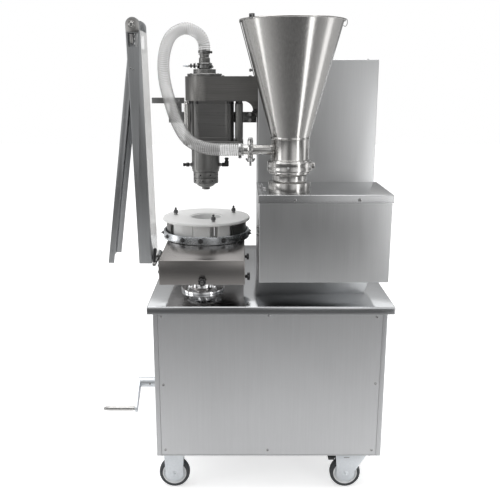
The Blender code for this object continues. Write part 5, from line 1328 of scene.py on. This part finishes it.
DISC_R, HOLE_R, D0, D1 = 0.1500, 0.0520, 0.8400, 0.8490
LOBES = ((-147, -108, 0.1290), (-106.3, -82, 0.1345), (-71, -51.5, 0.1345), (-30, 0, 0.1290),
         (14, 44, 0.1290), (60, 90, 0.1290), (104, 134, 0.1290), (150, 180, 0.1290))
points = []
for lo, hi, far in LOBES:
    for deg, r in ([(lo - 0.4, 0.0980), (lo, 0.1000), (lo, far - 0.0020), (lo + 0.9, far)]
                   + [(lo + 0.9 + (hi - lo - 1.8) * k / 24, far) for k in range(1, 24)]
                   + [(hi - 0.9, far), (hi, far - 0.0020), (hi, 0.1000), (hi + 0.4, 0.0980)]):
        a = math.radians(deg)
        points.append((HEAD_X + r * math.cos(a), HEAD_Y + r * math.sin(a)))
drum = plate("drum", points, D0 - 0.7898, (0, 0, (D0 - GAP + 0.7895) / 2), ACETAL,
             holes=[arc(HOLE_R, 96, (HEAD_X, HEAD_Y))[::-1]])
piece(drum, "plate_drum", "turntable", ["capsule_drum"], edge=0.0012, segments=2)
disc = turned("disc", [(HOLE_R, D1 - 0.0036), (HOLE_R + 0.0022, D1 - 0.0026),
                       (DISC_R - 0.0020, D1 - 0.0026), (DISC_R, D1 - 0.0034),
                       (DISC_R, D0 + 0.0010), (DISC_R - 0.0010, D0), (HOLE_R, D0)],
              (HEAD_X, HEAD_Y, 0), ACETAL, 144, "Z", 0.0005)
cap_plate = turned("cap", [(HOLE_R + 0.0040, D1 - 0.0004), (HOLE_R + 0.0044, D1),
                           (DISC_R - 0.0024, D1), (DISC_R - 0.0016, D1 - 0.0006),
                           (DISC_R - 0.0016, D1 - 0.0024), (HOLE_R + 0.0040, D1 - 0.0024)],
                   (HEAD_X, HEAD_Y, 0), DISC, 144, "Z", 0.0002)
disc = together("disc", disc, cap_plate)
piece(disc, "top_disc", "turntable", ["turntable_disc"], smooth=30)
# steel shield behind the lobes, and the bright posts under the three finials
shield = []
for lo, hi in ((8, 62), (66, 116), (120, 172), (-47, -4), (-178, -149)):
    n = 20
    outer = [(HEAD_X + 0.1372 * math.cos(math.radians(lo + (hi - lo) * k / n)),
              HEAD_Y + 0.1372 * math.sin(math.radians(lo + (hi - lo) * k / n))) for k in range(n + 1)]
    inner_line = [(HEAD_X + 0.1357 * math.cos(math.radians(hi - (hi - lo) * k / n)),
                   HEAD_Y + 0.1357 * math.sin(math.radians(hi - (hi - lo) * k / n)))
                  for k in range(n + 1)]
    shield.append(plate("shield", outer + inner_line, D0 - 0.0004 - 0.7895,
                        (0, 0, (D0 - 0.0002 + 0.7895) / 2), HEAD))
FINIALS = (("a", 168.0), ("b", 32.0), ("c", -75.0))
for tag, deg in FINIALS:
    a = math.radians(deg)
    at = (HEAD_X + 0.1220 * math.cos(a), HEAD_Y + 0.1220 * math.sin(a))
    shield.append(turned("post", [(0.0, D0 - 0.0003), (0.0036, D0 - 0.0003), (0.0036, 0.7960),
                                  (0.0050, 0.7955), (0.0050, 0.7894), (0.0, 0.7894)], (*at, 0),
                         CHROME, 32, "Z", 0.0003))
piece(together("plate_shield", *shield), "plate_shield", "turntable", smooth=35)
for tag, deg in FINIALS:
    a = math.radians(deg)
    at = (HEAD_X + 0.1100 * math.cos(a), HEAD_Y + 0.1100 * math.sin(a), D1 + GAP)
    body = turned("fin", [(0.0000, 0.0260), (0.0022, 0.0256), (0.0037, 0.0242), (0.0042, 0.0224),
                          (0.0040, 0.0204), (0.0034, 0.0190), (0.0036, 0.0180), (0.0062, 0.0166),
                          (0.0074, 0.0146), (0.0078, 0.0112), (0.0074, 0.0068), (0.0060, 0.0046),
                          (0.0, 0.0046)], at, GREY, 40, "Z", 0.0004)
    foot = turned("foot", [(0.0, 0.0046), (0.0048, 0.0046), (0.0050, 0.0030), (0.0066, 0.0024),
                           (0.0068, 0.0), (0.0, 0.0)], at, BOLT, 40, "Z", 0.0003)
    piece(together("finial", body, foot), "finial_" + tag, "disc_knob_" + tag,
          ["disc_knob_" + tag], smooth=35)


def star(name, at, along, r, h, body, node):
    n = 84
    outline = [((r - 0.0014 + 0.0014 * math.cos(7 * 2 * math.pi * k / n)) * math.cos(2 * math.pi * k / n),
                (r - 0.0014 + 0.0014 * math.cos(7 * 2 * math.pi * k / n)) * math.sin(2 * math.pi * k / n))
               for k in range(n)]
    head = plate("head", outline, h * 0.52, (0, 0, h * 0.70), BLACK)
    rounded_edges(head, min(0.0022, r * 0.2), 3)
    apply(head)
    neck = turned("neck", [(0.0, h * 0.50), (r * 0.52, h * 0.50), (r * 0.44, h * 0.30), (r * 0.44, 0.0),
                           (0.0, 0.0)], (0, 0, 0), BLACK, 40, "Z", 0.0004)
    cap = turned("cap", [(0.0, h), (r * 0.42, h), (r * 0.46, h * 0.95), (r * 0.46, h * 0.9), (0.0, h * 0.9)],
                 (0, 0, 0), BRACKET, 40, "Z", 0.0003)
    made = together(name, head, neck, cap)
    made.data.transform(Matrix.Translation(at) @ TURN[along])
    return piece(made, name, body, [node], smooth=38)


star("front_star", (-0.2080, TBL_Y0 - GAP, 0.7130), "-Y", 0.0130, 0.0198, "front_knob", "front_knob")
star("side_star_front", (TBL_X1 + GAP, 0.0700, 0.7180), "X", 0.0122, 0.0158, "side_knob_front",
     "side_knob_front")
star("side_star_rear", (TBL_X1 + GAP, 0.1900, 0.7500), "X", 0.0104, 0.0138, "side_knob_rear",
     "side_knob_rear")

# ------------------------------------------------------------ crank
CKX, ARM_END, GRIP_END = -0.4360, (0.0920, 0.2620), -0.5380
ck = turned("ck", [(0.0000, 0.1900), (0.0194, 0.1900), (0.0204, 0.1893), (0.0300, 0.1835),
                   (0.0245, 0.1770), (0.0110, 0.1765), (0.0110, 0.0755), (0.0160, 0.0752),
                   (0.0165, 0.0744), (0.0165, 0.0008), (0.0157, 0.0000), (0.0000, 0.0000)],
            (CKX, COL_Y, CRANK_Z), ZINC, 72, "X", 0.0005)
web = plate("web", slot_points((COL_Y, CRANK_Z), ARM_END, 0.0165, 0.0120, 20), 0.0078,
            (CKX + 0.0040, 0, 0), ZINC, (math.pi / 2, 0, math.pi / 2))
rounded_edges(web, 0.0012, 2)
apply(web)
pin = rod("pin", 0.0039, (CKX + 0.0020, *ARM_END), (GRIP_END + 0.0010, *ARM_END), BOLT)
head = turned("ph", [(0.0, 0.0040), (0.0042, 0.0040), (0.0058, 0.0030), (0.0060, 0.0), (0.0, 0.0)],
              (GRIP_END + 0.0040, *ARM_END), BOLT, 32, "-X", 0.0003)
setsc = cap_screw((CKX + 0.040, COL_Y - 0.0162, CRANK_Z), (0, -1, 0), 0.0032, 0.0020, BOLT)
piece(together("crank_arm", ck, web, pin, head, setsc), "crank_arm", "crank", ["crank"],
      smooth=38)
piece(turned("grip", [(0.0044, 0.0960), (0.0060, 0.0960), (0.0068, 0.0950), (0.0074, 0.0900),
                      (0.0078, 0.0800), (0.0076, 0.0480), (0.0078, 0.0160), (0.0074, 0.0060),
                      (0.0068, 0.0010), (0.0060, 0.0000), (0.0044, 0.0000)],
             (CKX - 0.0009, *ARM_END), TURNED, 56, "-X", 0.0006), "grip_sleeve", "crank_grip",
      ["crank_grip"])

# ------------------------------------------------------------ folding guard
LEAF_Y0, LEAF_Y1, PIV_X, PIV_Z = 0.0575, 0.2000, -0.3980, 1.4557
HINGE_X, HINGE_Z = -0.3500, 0.7700
MID_Y, DEPTH = (LEAF_Y0 + LEAF_Y1) / 2, LEAF_Y1 - LEAF_Y0
ROT = (math.pi / 2, 0, 0)
A_LO, A_HI, A_HALF = (-0.3810, 0.7620), (-0.3950, PIV_Z), 0.0190
line = ([(A_LO[0] - A_HALF, A_LO[1]), (A_LO[0] + A_HALF, A_LO[1])]
        + [(A_HI[0] + 0.0200 * math.cos(math.pi * i / 32), A_HI[1] + 0.0200 * math.sin(math.pi * i / 32))
           for i in range(33)])
leaf = plate("leaf", line, DEPTH, (0, MID_Y, 0), GUARD, ROT)
cut(leaf, plate("c1", [(-0.4300, 0.7400), (A_LO[0] + A_HALF - 0.0020, 0.7400),
                       (A_HI[0] + 0.0180, 1.3900), (-0.4300, 1.3900)], DEPTH - 0.0050, (0, MID_Y, 0),
                None, ROT),
    box("c2", (-0.4300, LEAF_Y0 + 0.0190, 1.3800), (-0.3600, LEAF_Y1 - 0.0190, 1.5000)),
    box("c3", (-0.4088, 0.0, 1.3950), (-0.3795, 0.3, 1.4325)))
join(leaf, box("arm", (HINGE_X - 0.0155, 0.1095, HINGE_Z - 0.0050), (HINGE_X - 0.0060, 0.1505,
                                                                  HINGE_Z + 0.0300)),
     rod("eye", 0.0090, (HINGE_X, 0.1090, HINGE_Z), (HINGE_X, 0.1510, HINGE_Z), None, 32))
cut(leaf, rod("c4", 0.0045, (HINGE_X, 0.08, HINGE_Z), (HINGE_X, 0.18, HINGE_Z)))
rounded_edges(leaf, 0.0008, 2)
apply(leaf)
bits = [rod("pin", 0.0040, (PIV_X, LEAF_Y0 - 0.0026, PIV_Z), (PIV_X, LEAF_Y1 + 0.0028, PIV_Z), BOLT, 28)]
bits.append(turned("washer", [(0.0, 0.0014), (0.0100, 0.0014), (0.0108, 0.0006), (0.0108, 0.0), (0.0, 0.0)],
                   (PIV_X, LEAF_Y0 + 0.0002, PIV_Z), POLISHED, 40, "-Y"))
bits.append(dome_screw((PIV_X, LEAF_Y0 - 0.0010, PIV_Z), (0, -1, 0), 0.0074, 0.0030, POLISHED))
face = plate("face", fillet([(A_HI[0] - 0.0180, 1.4350), (A_HI[0] - 0.0186, 1.4557)]
                            + [(A_HI[0] + 0.0186 * math.cos(math.pi - math.pi * i / 24),
                                A_HI[1] + 0.0186 * math.sin(math.pi - math.pi * i / 24))
                               for i in range(1, 24)]
                            + [(A_HI[0] + 0.0186, 1.4557), (A_HI[0] + 0.0180, 1.4350)], 0.0010),
             0.0010, (0, LEAF_Y0 - 0.0004, 0), POLISHED, ROT)
rounded_edges(face, 0.0003, 2)
bits.append(apply(face))
for x, z in ((-0.4045, 1.3360), (-0.3970, 1.3330)):
    bits.append(cap_screw((x, LEAF_Y0 + 0.0002, z), (0, -1, 0), 0.0027, 0.0020, BOLT))
for side in (LEAF_Y0 + 0.0030, LEAF_Y1 - 0.0030):
    bits.append(wire("edge", [(A_LO[0] + A_HALF - 0.0004 - (z - 0.762) * 0.0187, side, z)
                              for z in (0.766, 0.90, 1.05, 1.20, 1.35, 1.40)], 0.0009, BLACK, 6))
fork = plate("fork", fillet([(-0.4040, 1.4300), (-0.4040, 1.4080), (-0.4000, 1.4010), (-0.3965, 1.4080),
                             (-0.3965, 1.4300)], 0.0012), 0.0060, (0, LEAF_Y0 + 0.0080, 0), POLISHED, ROT)
rounded_edges(fork, 0.0006, 2)
bits.append(apply(fork))
# short chain that holds the guard open, hung in the window
for k in range(5):
    z = 1.4290 - 0.0062 * k
    ring_line = []
    for i in range(20):
        a = 2 * math.pi * i / 20
        u, v = 0.0021 * math.cos(a), 0.0040 * math.sin(a)
        ring_line.append((-0.3905 + (u if k % 2 else 0.0), LEAF_Y0 + 0.0045 + (0.0 if k % 2 else u),
                          z + v))
    bits.append(wire("link", ring_line, 0.0008, BOLT, 6, True))
piece(together("inner_guard_leaf", leaf, *bits), "inner_guard_leaf", "guard_inner",
      ["guard_leaf_inner"], smooth=38)

# clear film on the leaf's right side, flaring at its foot
bm = bmesh.new()
rows = []
for z in [0.7865, 0.7900, 0.7960, 0.8050, 0.8170, 0.8320, 0.8500, 0.8750] + [0.90 + 0.055 * k for k in
                                                                               range(10)] + [1.440]:
    flare = 0.0150 * math.exp(-(z - 0.7865) / 0.0200)
    x = A_LO[0] + A_HALF + 0.0010 - (z - 0.762) * 0.0187 + flare
    rows.append([bm.verts.new((x, LEAF_Y0 + 0.0015 + (DEPTH - 0.003) * k / 8, z)) for k in range(9)])
for a, b in zip(rows, rows[1:]):
    for k in range(8):
        bm.faces.new((a[k], a[k + 1], b[k + 1], b[k]))
bmesh.ops.recalc_face_normals(bm, faces=bm.faces)
film = to_object("film", bm, SHEET)
solidify(film, 0.0007)
apply(film)
piece(film, "guard_film", "guard_inner", smooth=60)

B_SLOPE, B_W, B_TOP = 0.1353, 0.0170, 1.3750


def b_left(z):
    return -0.4946 + B_SLOPE * (z - 0.7630)


outer = plate("outer", [(b_left(0.7630), 0.7630), (b_left(0.7630) + B_W, 0.7630),
                        (b_left(B_TOP) + B_W, B_TOP), (b_left(B_TOP), B_TOP)], DEPTH - 0.0070,
              (0, MID_Y, 0), GUARD, ROT)
cut(outer, plate("c", [(b_left(0.7400) + 0.0020, 0.7400), (b_left(0.7400) + 0.0500, 0.7400),
                       (b_left(1.3600) + 0.0500, 1.3600), (b_left(1.3600) + 0.0020, 1.3600)],
                 DEPTH - 0.0120, (0, MID_Y, 0), None, ROT))
join(outer, plate("tongue", slot_points((-0.4040, 1.3600), (PIV_X, PIV_Z), 0.0078, 0.0140), DEPTH - 0.0390,
                  (0, MID_Y, 0), None, ROT))
cut(outer, rod("c", 0.0045, (PIV_X, 0.0, PIV_Z), (PIV_X, 0.3, PIV_Z), None, 28))
rounded_edges(outer, 0.0008, 2)
apply(outer)
bits = []
for z in (0.80, 1.00, 1.20):
    bits.append(cap_screw((b_left(z) + 0.0085, LEAF_Y0 + 0.0037, z), (0, -1, 0), 0.0026, 0.0012, GUARD))
piece(together("outer_guard_leaf", outer, *bits), "outer_guard_leaf", "guard_outer",
      ["guard_leaf_outer"], smooth=38)

gb = box("gb", (-0.3466, 0.0900, 0.7150), (TBL_X0 - GAP, 0.1700, 0.7720), BRACKET)
join(gb, rod("la", 0.0095, (HINGE_X, 0.0960, HINGE_Z), (HINGE_X, 0.1080, HINGE_Z), None, 36),
     rod("lb", 0.0095, (HINGE_X, 0.1520, HINGE_Z), (HINGE_X, 0.1640, HINGE_Z), None, 36),
     box("wa", (HINGE_X - 0.0010, 0.0960, HINGE_Z - 0.0090), (-0.3420, 0.1080, HINGE_Z - 0.0010)),
     box("wb", (HINGE_X - 0.0010, 0.1520, HINGE_Z - 0.0090), (-0.3420, 0.1640, HINGE_Z - 0.0010)))
cut(gb, box("notch", (-0.3700, 0.1085, 0.7588), (-0.3300, 0.1515, 0.8000)))
rounded_edges(gb, 0.0008, 2)
apply(gb)
bits = [rod("pin", 0.0040, (HINGE_X, 0.0300, HINGE_Z), (HINGE_X, 0.1680, HINGE_Z), BOLT, 28)]
for y, z in ((0.0985, 0.7240), (0.1615, 0.7240), (0.0985, 0.7450), (0.1615, 0.7450)):
    bits += hex_bolt((-0.3466, y, z), (-1, 0, 0), 0.0042, 0.0030, BOLT)
bits.append(turned("spring", [(0.0046, 0.0500), (0.0062, 0.0500), (0.0062, 0.0000), (0.0046, 0.0000)],
                   (HINGE_X, 0.0420, HINGE_Z), BOLT, 32, "Y", 0.0003))
piece(together("hinge_bracket", gb, *bits), "hinge_bracket", "table",
      ["guard_bracket"], smooth=38)

hub = turned("gl", [(0.0000, 0.0140), (0.0046, 0.0140), (0.0056, 0.0130), (0.0062, 0.0120),
                    (0.0066, 0.0010), (0.0060, 0.0000), (0.0000, 0.0000)],
             (HINGE_X, 0.0296, HINGE_Z), TURNED, 48, "-Y", 0.0004)
paddle = plate("paddle", slot_points((HINGE_X + 0.0006, HINGE_Z + 0.0080),
                                     (HINGE_X + 0.0040, HINGE_Z + 0.0450), 0.0040, 0.0050, 14),
               0.0068, (0, 0.0200, 0), BLACK, ROT)
rounded_edges(paddle, 0.0016, 3)
apply(paddle)
piece(together("latch_lever", hub, paddle), "latch_lever", "guard_lever",
      ["guard_lever"], smooth=40)

# ------------------------------------------------------------ CAD nodes that stay
KEPT = {"lift_bracket": BRACKET, "feeder_motor": MOTOR, "head_motor": MOTOR, "table_motor": MOTOR,
        "drive_belt": BELT, "lift_screw": TURNED, "spindle_shaft": TURNED, "spindle_pulley": TURNED,
        "motor_pulley": TURNED}
for name, mat in KEPT.items():
    node = frame["nodes"][name]
    node.data.materials.clear()
    node.data.materials.append(mat)

# ------------------------------------------------------------ floor, world, lights
bm = bmesh.new()
bmesh.ops.create_grid(bm, x_segments=1, y_segments=1, size=9.0)
mesh = bpy.data.meshes.new("floor")
bm.to_mesh(mesh)
bm.free()
floor = bpy.data.objects.new("floor", mesh)
floor.location = (0.0, 3.0, -0.0003)
scene.collection.objects.link(floor)
floor_mat, tree, shader = new_material("floor_white")
where = put(tree, "ShaderNodeTexCoord")
parts3 = put(tree, "ShaderNodeSeparateXYZ")
tree.links.new(where.outputs["Object"], parts3.inputs["Vector"])
# painted shade: for rays other than the camera's, the floor darkens from 0.90 near the machine to 0.10 far
# in front, standing in for the unlit studio floor there
floor_shade_ramp = span(tree, parts3.outputs["Y"], 0.10, 0.90, -5.6, -3.3)
path = put(tree, "ShaderNodeLightPath")
seen = put(tree, "ShaderNodeMix", data_type="FLOAT")
tree.links.new(path.outputs["Is Camera Ray"], seen.inputs[0])
tree.links.new(floor_shade_ramp, seen.inputs[2])
seen.inputs[3].default_value = 0.90
tree.links.new(seen.outputs[0], shader.inputs["Base Color"])
shader.inputs["Roughness"].default_value = 0.85
shader.inputs["Emission Color"].default_value = (1.0, 1.0, 1.0, 1.0)
glow = times(tree, path.outputs["Is Camera Ray"], 0.55)
tree.links.new(glow, shader.inputs["Emission Strength"])
floor.data.materials.append(floor_mat)
floor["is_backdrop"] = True

world = bpy.data.worlds.new("studio")
scene.world = world
world.use_nodes = True
tree = world.node_tree
background = tree.nodes["Background"]
where = put(tree, "ShaderNodeTexCoord")
parts3 = put(tree, "ShaderNodeSeparateXYZ")
tree.links.new(where.outputs["Generated"], parts3.inputs["Vector"])
back = span(tree, parts3.outputs["Y"], 0.0, 1.0, -0.35, 0.45)
up = span(tree, parts3.outputs["Z"], 0.0, 1.0, 0.15, 0.90)


def plus(a, b):
    made = put(tree, "ShaderNodeMath", operation="ADD")
    for value, socket in ((a, made.inputs[0]), (b, made.inputs[1])):
        if isinstance(value, float):
            socket.default_value = value
        else:
            tree.links.new(value, socket)
    return made.outputs[0]


ahead = span(tree, parts3.outputs["Z"], 1.0, 0.0, 0.10, 0.55)
near = span(tree, parts3.outputs["Y"], 1.0, 0.0, -0.80, -0.10)
offset = put(tree, "ShaderNodeMath", operation="ABSOLUTE")
tree.links.new(plus(parts3.outputs["X"], 0.14), offset.inputs[0])
band = times(tree, times(tree, ahead, near), span(tree, offset.outputs[0], 0.10, 1.0, 0.08, 0.46))
studio = plus(plus(plus(0.10, times(tree, back, 0.20)), times(tree, up, 0.66)),
              times(tree, band, 0.85))
path = put(tree, "ShaderNodeLightPath")
mix = put(tree, "ShaderNodeMix", data_type="FLOAT")
tree.links.new(path.outputs["Is Camera Ray"], mix.inputs[0])
tree.links.new(studio, mix.inputs[2])
mix.inputs[3].default_value = 1.0
tree.links.new(mix.outputs[0], background.inputs["Strength"])
background.inputs["Color"].default_value = (1.0, 1.0, 1.0, 1.0)


def area(name, at, aim, size, energy, colour=(1.0, 1.0, 1.0)):
    data = bpy.data.lights.new(name, "AREA")
    data.shape = "RECTANGLE"
    data.size, data.size_y = size
    data.energy = energy
    data.color = colour
    made = bpy.data.objects.new(name, data)
    made.location = at
    made.rotation_euler = (Vector(aim) - Vector(at)).to_track_quat("-Z", "Y").to_euler()
    made.visible_camera = False
    scene.collection.objects.link(made)
    return made


area("overhead", (0.0, -0.2, 3.2), (0.0, 0.0, 0.4), (2.6, 2.2), 42.0)
area("right_strip", (1.43, -1.66, 0.85), (0.14, -0.27, 1.05), (0.35, 1.6), 5.0)
area("right_panel", (1.95, -0.20, 0.75), (0.14, -0.27, 1.05), (0.50, 1.4), 2.6)
area("left_soft", (-2.6, -1.3, 1.7), (-0.1, 0.0, 0.9), (1.2, 1.8), 14.0)
area("left_panel", (-1.95, -0.10, 0.85), (0.10, -0.27, 1.05), (0.60, 1.6), 5.5)
area("back_floor", (0.0, 3.2, 3.4), (0.0, 3.0, 0.0), (5.0, 3.0), 30.0)

scene.view_settings.view_transform = "Standard"
scene.view_settings.look = "None"
scene.view_settings.exposure = 0.0

for obj in list(work.objects):
    bpy.data.objects.remove(obj, do_unlink=True)
bpy.data.collections.remove(work)

lo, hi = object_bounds()
